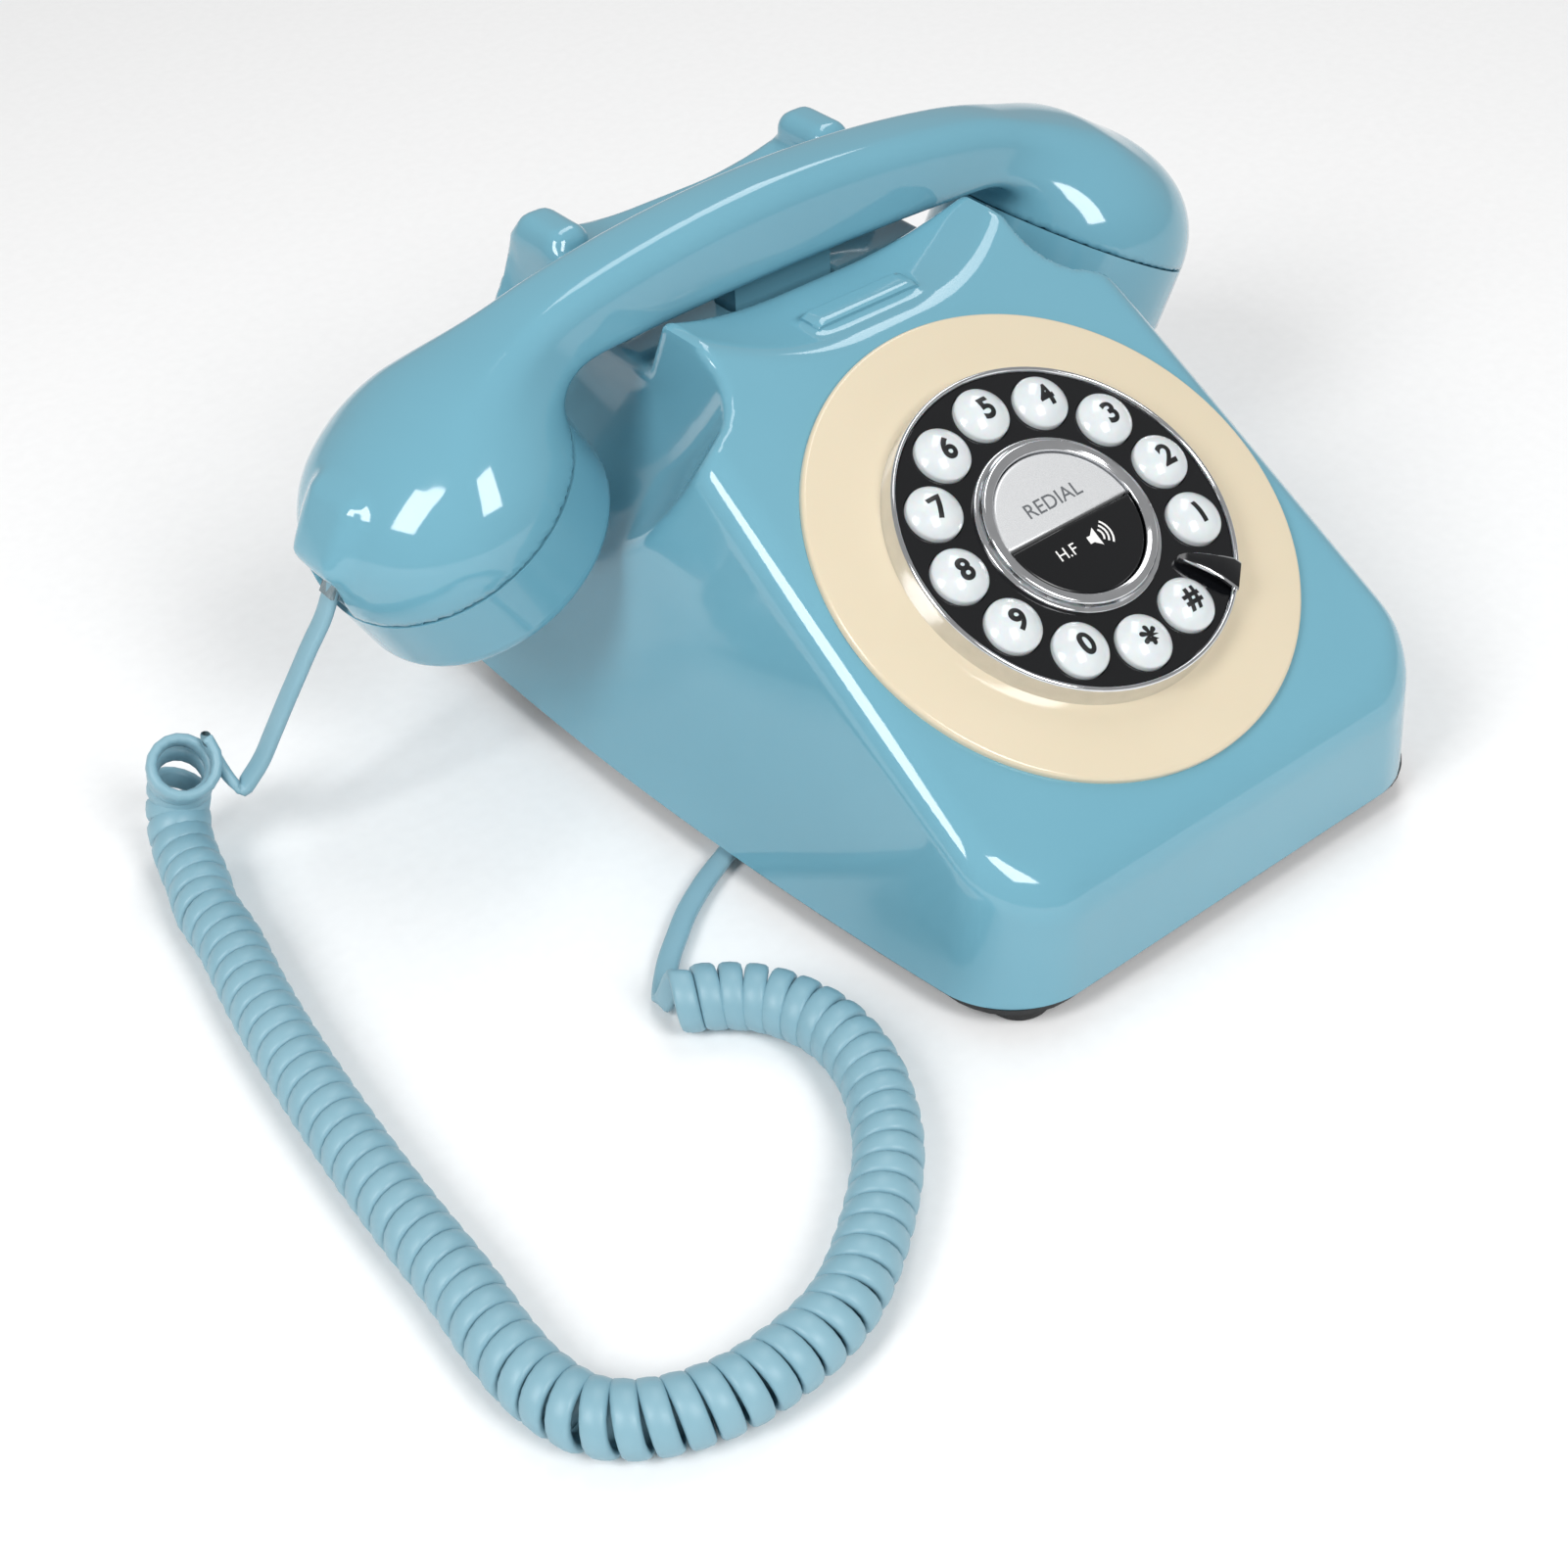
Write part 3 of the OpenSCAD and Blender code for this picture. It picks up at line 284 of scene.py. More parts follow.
def case_form(x, y, z):
    """The case but for the line socket's opening; it is the same on both sides."""
    x = np.abs(x)
    yc = np.clip(y, panel_front, panel_back)
    panel_z = skirt_z + (yc - panel_y) * math.tan(tilt)
    lean = (rim_x(yc) - 59.9 + (yc - panel_front) * 0.0465) / (panel_z - rim_z)
    sides = (x - rim_x(y) + (z - rim_z) * lean) / np.sqrt(1 + lean**2)
    front = front_y + (z - rim_z) * front_draft - y
    back = (y - back_y + (z - rim_z) * back_draft) * 0.987
    form = rounded(rounded(sides, front, corner_r), back, corner_r)
    panel = (z - skirt_z) * math.cos(tilt) - (y - panel_y) * math.sin(tilt)
    form = rounded(form, panel, 6)
    # scoop that clears the handset's cap, beside the cradle
    across = (x - 60 + z - 140) * math.sqrt(0.5)
    scoop = rounded(np.hypot(y - 46, across) - 64, 41 - x, 7)
    form = rounded(form, -scoop, edge_r)
    # saddle between the horns, and the channel for the handle
    over = np.clip(x - 8, 0, 60)
    rise = z - (saddle_z + saddle_r) + np.sqrt(saddle_r**2 - over**2)
    saddle = np.maximum(rise * np.sqrt(1 - (over / saddle_r)**2), z - horn_z)
    form = rounded(form, saddle, edge_r)
    flank = (np.abs(y - channel_y) - 9.5 - (z - channel_z) * 8 / 18) * 0.914
    channel = np.maximum(flank, channel_z - z)
    form = rounded(form, -channel, 2)
    # rear horns and the raised bar
    far = [np.abs(x - 35.7) - 1.3, np.abs(y - 73) - 4.5, z - horn_z]
    deepest = np.minimum(np.maximum(np.maximum(far[0], far[1]), far[2]), 0)
    horn = np.sqrt(sum(np.maximum(f, 0)**2 for f in far)) + deepest - 4
    form = filleted(form, np.maximum(horn, channel_z - z), 2)
    bar = np.maximum(np.maximum(x - 13.5, np.abs(y - 16) - 3.15), np.abs(z - 90) - 2.4)
    form = filleted(form, bar, 0.6)
    # openings for the dial and the hook plunger
    up_panel = (y - panel_y) * math.cos(tilt) + (z - skirt_z) * math.sin(tilt)
    well = np.maximum(np.hypot(x, up_panel - dial_s) - well_r, -well_depth - panel)
    form = rounded(form, -well, 0.5)
    slot = np.maximum(np.maximum(x - 13.4, np.abs(y - channel_y) - 3.9), 80 - z)
    shaft = np.maximum(np.maximum(x - 17, np.abs(y - channel_y) - 6.5), np.maximum(z - 81.4, 12 - z))
    form = np.maximum(form, -np.minimum(slot, shaft))
    return np.maximum(form, 3.4 - z)


def case_with_socket(x, y, z):
    """The case with the opening for the line socket, which is on one side only."""
    opening = np.maximum(np.maximum(np.abs(x + 24) - 6, 84 - y), np.maximum(5 - z, z - 16.5))
    return np.maximum(case_form(x, y, z), -opening)


case = mould("upper_case_moulding", case_with_socket, (-74, -100, 2), (74, 100, 104), 1.3)
rim = bmesh.new()
rim.from_mesh(case.data)
bmesh.ops.bisect_plane(rim, geom=[*rim.verts, *rim.edges, *rim.faces], dist=1e-6,
                       plane_co=(0, 0, rim_z / 1000), plane_no=(0, 0, -1), clear_outer=True)
bmesh.ops.holes_fill(rim, edges=[e for e in rim.edges if e.is_boundary])
rim.to_mesh(case.data)
rim.free()
case.data.set_sharp_from_angle(angle=math.radians(50))
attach(case, "base")
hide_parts("upper_case")

# Glossy ABS, moulded in a polished tool: sharp reflections with a very faint ripple, and a tone
# that drifts a little from thick to thin places.
case_abs, tree = new_material("abs_blue_moulded_gloss")
place = add(tree, "TexCoord").outputs["Object"]
ripple = add(tree, "TexNoise", Vector=place, Scale=140.0, Detail=2.0)
cloud = add(tree, "TexNoise", Vector=place, Scale=18.0, Detail=3.0)
shade = add(tree, "Mix", data_type="RGBA", _0=cloud.outputs[0],
            _6=linear("#69a1b4"), _7=linear("#72a9bb"))
haze = add(tree, "TexNoise", Vector=place, Scale=420.0, Detail=4.0)
gloss = add(tree, "MapRange", Value=haze.outputs[0], To_Min=0.05, To_Max=0.11)
relief = add(tree, "Bump", Height=ripple.outputs[0], Strength=0.035, Distance=0.0004)
shader = add(tree, "BsdfPrincipled", Base_Color=shade.outputs[2], Roughness=gloss.outputs[0],
             Normal=relief.outputs[0], IOR=1.53, Coat_Weight=0.3, Coat_Roughness=0.03)
finish_material(case_abs, tree, shader, case)


# Handset. A hollow ABS moulding: two domes joined by an arched handle, and a hood at the
# mouthpiece end over the cord's socket. Two round caps screw into it from below.
cap_x, seam_z, cap_lean = 86.5, 68, math.radians(29)
cap_r, dome_h, dome_power = 30, 23.5, 2.15
crown_z, crown_r = 111, 290
socket_x, socket_z, socket_sin, socket_cos = -112.6, 62, 0.5, 0.866


def blended(a, b, k):
    """Inside a or inside b, with a soft swell of width k where they meet."""
    h = np.clip(0.5 + 0.5 * (b - a) / k, 0, 1)
    return b * (1 - h) + a * h - k * h * (1 - h)


def handset_form(x, y, z):
    """The handset's outer form above the caps; its handle runs along x."""
    # each point is read in its own cap's frame: out from the axis, and up from the seam
    u, w = np.abs(x) - cap_x, z - seam_z
    out = u * math.cos(cap_lean) - w * math.sin(cap_lean)
    up = u * math.sin(cap_lean) + w * math.cos(cap_lean)
    flat = np.hypot(out, y - channel_y)
    swell = (flat / cap_r)**dome_power + np.abs(up / dome_h)**dome_power
    dome = (swell**(1 / dome_power) - 1) * 24
    dome = np.where(up < 0, flat - cap_r, dome)
    # handle: a rounded trapezium under a crown, deeper and wider towards the domes
    ax = np.minimum(np.abs(x), 100)
    arch = crown_z - crown_r + np.sqrt(crown_r**2 - ax**2)
    end = np.maximum(ax - 50, 0) / 40
    low = arch * 0.35 + crown_z * 0.65 - 18 - 15 * end**2
    high = arch - 6 * end**2
    half = 11.2 - 3 * np.clip((z - low) / (high - low), -0.3, 1.3) + 8 * end**2.2
    off = y - channel_y
    handle = rounded(rounded(np.abs(off) - half, low - z, 3), z - high + 0.012 * off**2, 4.2)
    form = blended(rounded(handle, ax - 92, 6), dome, 10)
    # hood over the socket, along the line of the plug
    along = (x - socket_x) * socket_sin + (z - socket_z) * socket_cos
    proud = (z - socket_z) * socket_sin - (x - socket_x) * socket_cos
    hood = rounded(rounded(np.abs(off) - 6.8, np.abs(along - 9) - 7.6, 1.5), proud - 7, 2)
    form = blended(form, np.maximum(hood, -proud - 6), 5)
    mouth = np.maximum(np.maximum(np.abs(off) - 4.4, np.abs(proud) - 3.9), np.abs(along + 8) - 20)
    form = rounded(form, -mouth, 0.5)
    below = np.maximum(up - 0.06, flat - 40)
    return rounded(form, -below, 0.5)


handset = mould("handset_moulding", handset_form, (-121, 11, 47), (121, 77, 115), 1.1)
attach(handset, "handset")
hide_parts("handset_shell")
handset.data.materials.append(case_abs)


# Caps and hook plunger. The same ABS: two round caps with sound holes, screwed on from below, and
# the plunger that the handle presses down.
def soften(*names):
    """Smooth shading with sharp edges on nodes as they stand."""
    for name in names:
        mesh = nodes[name].data
        mesh.polygons.foreach_set("use_smooth", [True] * len(mesh.polygons))
        mesh.set_sharp_from_angle(angle=math.radians(32))


def cover(material, *names):
    for name in names:
        nodes[name].data.materials.clear()
        nodes[name].data.materials.append(material)


soften("earpiece_cap", "mouthpiece_cap")
cover(case_abs, "earpiece_cap", "mouthpiece_cap", "hook_plunger")


# Cream surround. A flat ring of glossy ABS, 106 mm across and 1.6 mm thick, with a rounded edge.
# It lies on the panel, and the bezel stands in its bore.
panel_edge = Matrix.Translation((0, panel_y, skirt_z)) @ Matrix.Rotation(tilt, 4, "X")
dial = panel_edge @ Matrix.Translation((0, dial_s, 0))


def lathe(name, profile, body, place=dial, steps=96):
    """A turned piece: its profile in mm as radius and height, set in place."""
    around = 2 * math.pi * np.arange(steps) / steps
    vertices, faces, rows = [], [], []
    for r, h in profile:
        first = len(vertices)
        ring = [(r * math.cos(a), r * math.sin(a), h) for a in around] if r > 1e-6 else [(0, 0, h)]
        vertices += [place @ Vector(p) / 1000 for p in ring]
        rows.append((first, len(ring)))
    for (a, na), (b, nb) in zip(rows, rows[1:]):
        for k in range(steps):
            n = (k + 1) % steps
            face = [a + k % na, a + n % na, b + n % nb, b + k % nb]
            faces.append(list(dict.fromkeys(face)))
    obj = mesh_object(name, vertices, faces)
    obj.data.set_sharp_from_angle(angle=math.radians(40))
    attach(obj, body)
    return obj


def rounded_corner(r, h, out, up, size, count=4):
    """Points of a quarter round that ends a profile's corner at r, h; out and up are its signs."""
    angles = [math.pi / 2 * i / count for i in range(count + 1)]
    return [(r + out * size * (math.cos(a) - 1), h + up * size * (math.sin(a) - 1)) for a in angles]


surround_r, surround_h = 53, 1.6
surround_profile = [(well_r, 0), (surround_r, 0), *rounded_corner(surround_r, surround_h, 1, 1, 0.9),
                    (well_r, surround_h), (well_r, 0)]
surround = lathe("dial_surround_disc", surround_profile, "base", steps=160)
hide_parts("dial_surround")
# Glossy ABS again, in cream: a warmer shade, an even polish and a very slight waviness.
cream, tree = new_material("abs_cream_moulded_gloss")
place = add(tree, "TexCoord").outputs["Object"]
cloud = add(tree, "TexNoise", Vector=place, Scale=25.0, Detail=3.0)
haze = add(tree, "TexNoise", Vector=place, Scale=500.0, Detail=3.0)
shade = add(tree, "Mix", data_type="RGBA", _0=cloud.outputs[0],
            _6=linear("#d5c8ad"), _7=linear("#dccfb6")).outputs[2]
gloss = add(tree, "MapRange", Value=haze.outputs[0], To_Min=0.1, To_Max=0.18)
relief = add(tree, "Bump", Height=cloud.outputs[0], Strength=0.03, Distance=0.0005)
shader = add(tree, "BsdfPrincipled", Base_Color=shade, Roughness=gloss.outputs[0],
             Normal=relief.outputs[0], IOR=1.53, Subsurface_Weight=0.04, Subsurface_Scale=0.001)
finish_material(cream, tree, shader, surround)


# Chrome. The bezel, the stepped centre ring and the finger stop are plated ABS. The stop is a
# thin tongue that leaves the bezel and bends over the keys, as on a rotary dial.
bezel_profile = [
    (37.2, surround_h), (36.9, 4.8), *rounded_corner(36.7, 6.6, 1, 1, 0.7), (35.8, 6.5), (35.5, 5.9),
    (35.45, 3.8), (34.7, 3.8), (34.6, -4.5), (36.2, -4.5), (36.2, surround_h), (37.2, surround_h)]
bezel = lathe("dial_bezel_ring", bezel_profile, "base", steps=128)
plate_top, ring_r, ring_bore = 5.8, 19.8, 16.15
centre_profile = [
    (ring_bore, plate_top), (ring_r, plate_top), *rounded_corner(ring_r, 6.7, 1, 1, 0.4), (18.9, 6.75),
    *rounded_corner(18.6, 8.1, 1, 1, 0.8, 6), (16.9, 7.9), *rounded_corner(ring_bore, 7.7, -1, 1, 0.4)[::-1],
    (ring_bore, plate_top)]
centre = lathe("centre_ring_turned", centre_profile, "base", steps=128)
# the tongue's stations: distance from the dial's axis, half width, and height of its underside
stations = [(36.4, 3.4, 6.5), (34.5, 3.3, 7.3), (32, 2.6, 7.75), (29, 2.0, 7.8), (26.5, 1.5, 7.6),
            (24.4, 1.0, 7.1), (23.2, 0.4, 6.5)]
section = [(-1, 0.1), (-1, 0.7), (-0.85, 0.95), (0.85, 0.95), (1, 0.7), (1, 0.1), (0.85, 0), (-0.85, 0)]
stop_angle = math.radians(-46)
turned = dial @ Matrix.Rotation(stop_angle, 4, "Z")
tongue = [turned @ Vector((along, w * half, high + t)) / 1000
          for along, half, high in stations for w, t in section]
stop = mesh_object("finger_stop_tongue", tongue, tube_faces(len(stations), len(section)))
stop.data.set_sharp_from_angle(angle=math.radians(50))
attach(stop, "base")
for obj, name in ((bezel, "dial_bezel"), (stop, "finger_stop")):
    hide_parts(name)
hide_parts("centre_ring")
# Bright chromium over moulded plastic: a mirror with the faint haze of wiping.
chrome, tree = new_material("chromium_plated_abs")
place = add(tree, "TexCoord").outputs["Object"]
wipe = add(tree, "TexNoise", Vector=place, Scale=350.0, Detail=5.0)
swell = add(tree, "TexNoise", Vector=place, Scale=90.0, Detail=1.0)
shade = add(tree, "Mix", data_type="RGBA", _0=wipe.outputs[0],
            _6=linear("#d3d5d8"), _7=linear("#e6e7e9")).outputs[2]
haze = add(tree, "MapRange", Value=wipe.outputs[0], To_Min=0.05, To_Max=0.13)
relief = add(tree, "Bump", Height=swell.outputs[0], Strength=0.04, Distance=0.0004)
shader = add(tree, "BsdfPrincipled", Base_Color=shade, Metallic=1.0, Roughness=haze.outputs[0],
             Normal=relief.outputs[0])
finish_material(chrome, tree, shader, bezel, centre, stop)


# Dial plate and hands-free key. Black ABS moulded against a polished face; the plate has a round
# hole for each key and shows the keys' reflections.
soften("dial_plate")
black_gloss, tree = new_material("abs_black_moulded_gloss")
place = add(tree, "TexCoord").outputs["Object"]
cloud = add(tree, "TexNoise", Vector=place, Scale=40.0, Detail=4.0)
dust = add(tree, "TexNoise", Vector=place, Scale=1200.0, Detail=2.0)
shade = add(tree, "Mix", data_type="RGBA", _0=cloud.outputs[0],
            _6=linear("#08090b"), _7=linear("#121316")).outputs[2]
gloss = add(tree, "MapRange", Value=dust.outputs[0], To_Min=0.08, To_Max=0.2)
relief = add(tree, "Bump", Height=cloud.outputs[0], Strength=0.03, Distance=0.0004)
shader = add(tree, "BsdfPrincipled", Base_Color=shade, Roughness=gloss.outputs[0],
             Normal=relief.outputs[0], IOR=1.53)
finish_material(black_gloss, tree, shader, nodes["dial_plate"])
# painted reflection: the chrome tongue's top takes the black gloss of the dial
stop.data.materials.append(black_gloss)
# the tongue's top face is painted in the dial's black gloss: a painted reflection of the dark dial, between
# bright chrome edges
sides_of_tongue = (len(stations) - 1) * len(section)
for polygon in stop.data.polygons:
    polygon.material_index = int(polygon.index < sides_of_tongue and polygon.index % len(section) == 2)


# Keys. Twelve domed buttons of pearly white ABS on one circle, 11.8 mm across, each with a bold
# black figure printed on it. They go anticlockwise from 1 at the lower right.
def figure(body, size, thicken=0.0):
    """The flat outline of some letters, in mm about their middle: points and triangles."""
    curve = bpy.data.curves.new(body, "FONT")
    curve.body, curve.size, curve.offset = body, size, thicken
    curve.resolution_u = 6
    text = bpy.data.objects.new(body, curve)
    bpy.context.scene.collection.objects.link(text)
    flat_mesh = bpy.data.meshes.new_from_object(text.evaluated_get(bpy.context.evaluated_depsgraph_get()))
    bpy.data.objects.remove(text)
    shape = bmesh.new()
    shape.from_mesh(flat_mesh)
    for _ in range(4):
        bmesh.ops.triangulate(shape, faces=shape.faces)
        long = [e for e in shape.edges if e.calc_length() > 0.7]
        if not long:
            break
        bmesh.ops.subdivide_edges(shape, edges=long, cuts=1)
    bmesh.ops.triangulate(shape, faces=shape.faces)
    points = np.array([v.co[:] for v in shape.verts])
    points -= (points.max(0) + points.min(0)) / 2
    faces = [[v.index for v in f.verts] for f in shape.faces]
    shape.free()
    bpy.data.meshes.remove(flat_mesh)
    return points, faces


def print_on(name, parts, height, body, place=dial):
    """Ink laid on a face: shapes moved to x, y and set at the height that a function gives."""
    vertices, faces = [], []
    for points, triangles, x, y in parts:
        faces += [[i + len(vertices) for i in t] for t in triangles]
        vertices += [place @ Vector((px + x, py + y, height(px + x, py + y))) / 1000
                     for px, py in points[:, :2]]
    ink_mesh = mesh_object(name, vertices, faces)
    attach(ink_mesh, body)
    return ink_mesh


key_r, key_dome, key_top, key_pitch = 5.9, 7.99, 9.4, 28
key_step, first_key = 360 / 12.5, -45
key_profile = [(0, 3.9), (key_r, 3.9), (key_r, 6.45), (5.86, 6.75), (5.72, 6.98)]
key_profile += [(key_dome * math.sin(math.radians(a)), key_top - key_dome * (1 - math.cos(math.radians(a))))
                for a in range(44, -1, -4)]
labels = {**{digit: digit for digit in "1234567890"}, "star": "*", "hash": "#"}


def on_dome(x, y):
    return key_top - key_dome + math.sqrt(key_dome**2 - x * x - y * y) + 0.03


key_caps, inks = [], []
for i, (key, label) in enumerate(labels.items()):
    angle = math.radians(first_key + (i + 0.75) * key_step)
    seat = dial @ Matrix.Translation((key_pitch * math.cos(angle), key_pitch * math.sin(angle), 0))
    cap = lathe(f"button_{key}_cap", key_profile, "key_" + key, seat, 48)
    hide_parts("button_" + key)
    key_caps.append(cap)
    shape = (*figure(label, 9.0 if label == "*" else 6.4, 0.24), 0, 0)
    inks.append(print_on(f"button_{key}_figure", [shape], on_dome, "key_" + key, seat))
# White ABS with mica: milky, a little light goes in, and a fine pearl shimmer under the gloss.
pearl, tree = new_material("abs_white_pearl_moulded")
place = add(tree, "TexCoord").outputs["Object"]
flake = add(tree, "TexVoronoi", Vector=place, Scale=2500.0)
cloud = add(tree, "TexNoise", Vector=place, Scale=220.0, Detail=2.0)
shade = add(tree, "Mix", data_type="RGBA", _0=cloud.outputs[0],
            _6=linear("#ccd3d6"), _7=linear("#dfe4e5")).outputs[2]
gloss = add(tree, "MapRange", Value=flake.outputs[0], To_Min=0.12, To_Max=0.26)
relief = add(tree, "Bump", Height=cloud.outputs[0], Strength=0.05, Distance=0.0003)
shader = add(tree, "BsdfPrincipled", Base_Color=shade, Roughness=gloss.outputs[0],
             Normal=relief.outputs[0], IOR=1.53, Subsurface_Weight=0.25, Subsurface_Scale=0.002,
             Coat_Weight=0.4, Coat_Roughness=0.05)
finish_material(pearl, tree, shader, *key_caps)
# Pad-printed ink: dense, slightly satin, with a ragged film under magnification.
ink, tree = new_material("pad_printed_black_ink")
place = add(tree, "TexCoord").outputs["Object"]
film = add(tree, "TexNoise", Vector=place, Scale=1500.0, Detail=3.0)
shade = add(tree, "Mix", data_type="RGBA", _0=film.outputs[0],
            _6=linear("#0a0a0b"), _7=linear("#17181a")).outputs[2]
gloss = add(tree, "MapRange", Value=film.outputs[0], To_Min=0.3, To_Max=0.5)
shader = add(tree, "BsdfPrincipled", Base_Color=shade, Roughness=gloss.outputs[0], IOR=1.5)
finish_material(ink, tree, shader, *inks)


# Centre keys. One disc in two halves: redial in pearl silver above, hands-free in black below.
# Each half slides by itself, with a gap of 0.6 mm between them.
half_r, half_gap, half_top = 15.9, 0.3, 7.2


def half_disc(name, side, body):
    """One half of the disc, with a rounded upper edge, above or below the gap."""
    angles = np.linspace(0, math.pi, 49)
    x, y = half_r * np.cos(angles), np.maximum(half_r * np.sin(angles), half_gap)
    rows = []
    for inset, high in ((0, 3.9), (0, 6.75), (0.12, 7.0), (0.4, 7.14), (0.9, half_top)):
        across = x * (half_r - inset) / half_r
        out = y * (half_r - 2 * inset) / half_r + inset * np.where(y < 1, 1, 0.9)
        rows += [dial @ Vector((a, side * b, high)) / 1000 for a, b in zip(across, out)]
    faces = tube_faces(5, len(angles))
    if side < 0:
        faces = [f[::-1] for f in faces]
    obj = mesh_object(name, rows, faces)
    obj.data.set_sharp_from_angle(angle=math.radians(60))
    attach(obj, body)
    return obj


redial = half_disc("redial_button_half", 1, "redial")
handsfree = half_disc("handsfree_button_half", -1, "handsfree")
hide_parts("redial_button")
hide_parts("handsfree_button")
handsfree.data.materials.append(black_gloss)


def on_disc(x, y):
    return half_top + 0.02


word = print_on("redial_button_word", [(*figure("REDIAL", 4.5, 0.02), 0, 5.6)], on_disc, "redial")
wave_shapes = [(*figure("H.F", 3.6), -4.9, -5.2)]
for reach in (1.7, 2.7, 3.7):
    arc = [(reach + w) * np.array([math.cos(a), math.sin(a)])
           for w in (-0.22, 0.22) for a in np.linspace(-0.75, 0.75, 9)]
    wave_shapes.append((np.array(arc), [[k, k + 9, k + 10, k + 1] for k in range(8)], 2.9, -5.2))
horn = np.array([(-1.6, -0.8), (-0.6, -0.8), (0.9, -2.1), (0.9, 2.1), (-0.6, 0.8), (-1.6, 0.8)])
wave_shapes.append((horn, [[0, 1, 4, 5], [1, 2, 3, 4]], 2.4, -5.2))
sign = print_on("handsfree_button_sign", wave_shapes, on_disc, "handsfree")
# Pearl lacquer on ABS: a soft metallic white with fine flakes under it.
silver, tree = new_material("abs_silver_pearl_lacquer")
place = add(tree, "TexCoord").outputs["Object"]
flake = add(tree, "TexVoronoi", Vector=place, Scale=4000.0)
shade = add(tree, "Mix", data_type="RGBA", _0=flake.outputs[0],
            _6=linear("#e2e3e4"), _7=linear("#cfd1d3")).outputs[2]
gloss = add(tree, "MapRange", Value=flake.outputs[0], To_Min=0.18, To_Max=0.32)
shader = add(tree, "BsdfPrincipled", Base_Color=shade, Roughness=gloss.outputs[0], Metallic=0.25,
             IOR=1.53)
finish_material(silver, tree, shader, redial)
# The same ink in grey for the word and in white for the sign.
for name, dark, light, obj in (("pad_printed_grey_ink", "#55585c", "#6a6d70", word),
                               ("pad_printed_white_ink", "#e6e6e4", "#f4f4f2", sign)):
    tint, tree = new_material(name)
    place = add(tree, "TexCoord").outputs["Object"]
    film = add(tree, "TexNoise", Vector=place, Scale=1500.0, Detail=3.0)
    shade = add(tree, "Mix", data_type="RGBA", _0=film.outputs[0],
                _6=linear(dark), _7=linear(light)).outputs[2]
    shader = add(tree, "BsdfPrincipled", Base_Color=shade, Roughness=0.45, IOR=1.5)
    finish_material(tint, tree, shader, obj)


# Base. A black ABS floor plate with a spark-eroded texture; it holds the ballast, the sockets, the
# loudspeaker and its clamp, and the retaining ring of the dial is of the same plastic.
black_nodes = ("base_plate", "dial_retainer", "speaker_clamp", "line_jack", "base_cord_jack", "hook_switch",
               "handset_jack", "microphone_holder")
soften(*black_nodes)
black_abs, tree = new_material("abs_black_spark_textured")
place = add(tree, "TexCoord").outputs["Object"]
grit = add(tree, "TexNoise", Vector=place, Scale=1000 / 0.8, Detail=4.0)
shade = add(tree, "Mix", data_type="RGBA", _0=grit.outputs[0],
            _6=linear("#101113"), _7=linear("#1d1e20")).outputs[2]
rough = add(tree, "MapRange", Value=grit.outputs[0], To_Min=0.42, To_Max=0.6)
relief = add(tree, "Bump", Height=grit.outputs[0], Strength=0.3, Distance=0.0001)
shader = add(tree, "BsdfPrincipled", Base_Color=shade, Roughness=rough.outputs[0],
             Normal=relief.outputs[0], IOR=1.53)
finish_material(black_abs, tree, shader, *[nodes[n] for n in black_nodes])


# Feet. Four round pads of moulded rubber, glued into the floor plate, a little narrower at the
# ground. They hide the screws of the case.
foot_profile = [(0, 0), (6.0, 0), (6.4, 0.15), (6.7, 0.5), (7.9, 4.4), (8, 4.8), (0, 4.8)]
feet = []
for i, (x, y) in enumerate(((-49, -86), (49, -86), (-49, 80), (49, 80))):
    foot = lathe(f"rubber_foot_{i}", foot_profile, "base", Matrix.Translation((x, y, 0)), 48)
    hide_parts("rubber_feet")
    feet.append(foot)
# Black rubber: dull, dusty in the pores.
rubber, tree = new_material("rubber_black_moulded")
place = add(tree, "TexCoord").outputs["Object"]
pore = add(tree, "TexNoise", Vector=place, Scale=900.0, Detail=5.0)
shade = add(tree, "Mix", data_type="RGBA", _0=pore.outputs[0],
            _6=linear("#131314"), _7=linear("#242425")).outputs[2]
rough = add(tree, "MapRange", Value=pore.outputs[0], To_Min=0.68, To_Max=0.88)
relief = add(tree, "Bump", Height=pore.outputs[0], Strength=0.4, Distance=0.0002)
shader = add(tree, "BsdfPrincipled", Base_Color=shade, Roughness=rough.outputs[0],
             Normal=relief.outputs[0], IOR=1.52)
finish_material(rubber, tree, shader, *feet)


# Metal inside: zinc-plated screws and weights, a music-wire spring, and pressed steel cans.
# Each has two shades, the ends of its roughness, its grains in a metre, and its nodes.
metals = {
    "steel_screws_zinc_plated": ("#a9adb2", "#c6c9cc", 0.22, 0.38, 700.0,
                                 ("base_screws", "keypad_screws", "board_screws")),
    "steel_ballast_cold_rolled": ("#6f7276", "#84878a", 0.35, 0.55, 160.0,
                                  ("ballast_plate", "handset_weight")),
    "steel_spring_music_wire": ("#a5a8ac", "#babdc0", 0.2, 0.35, 900.0, ("hook_spring",)),
    "aluminium_microphone_can": ("#b9bcc0", "#d0d2d4", 0.25, 0.4, 800.0,
                                 ("handsfree_mic", "microphone_capsule")),
    "steel_pressed_speaker_frame": ("#4a4b4e", "#5e6063", 0.35, 0.5, 400.0,
                                    ("loudspeaker", "receiver_capsule"))}
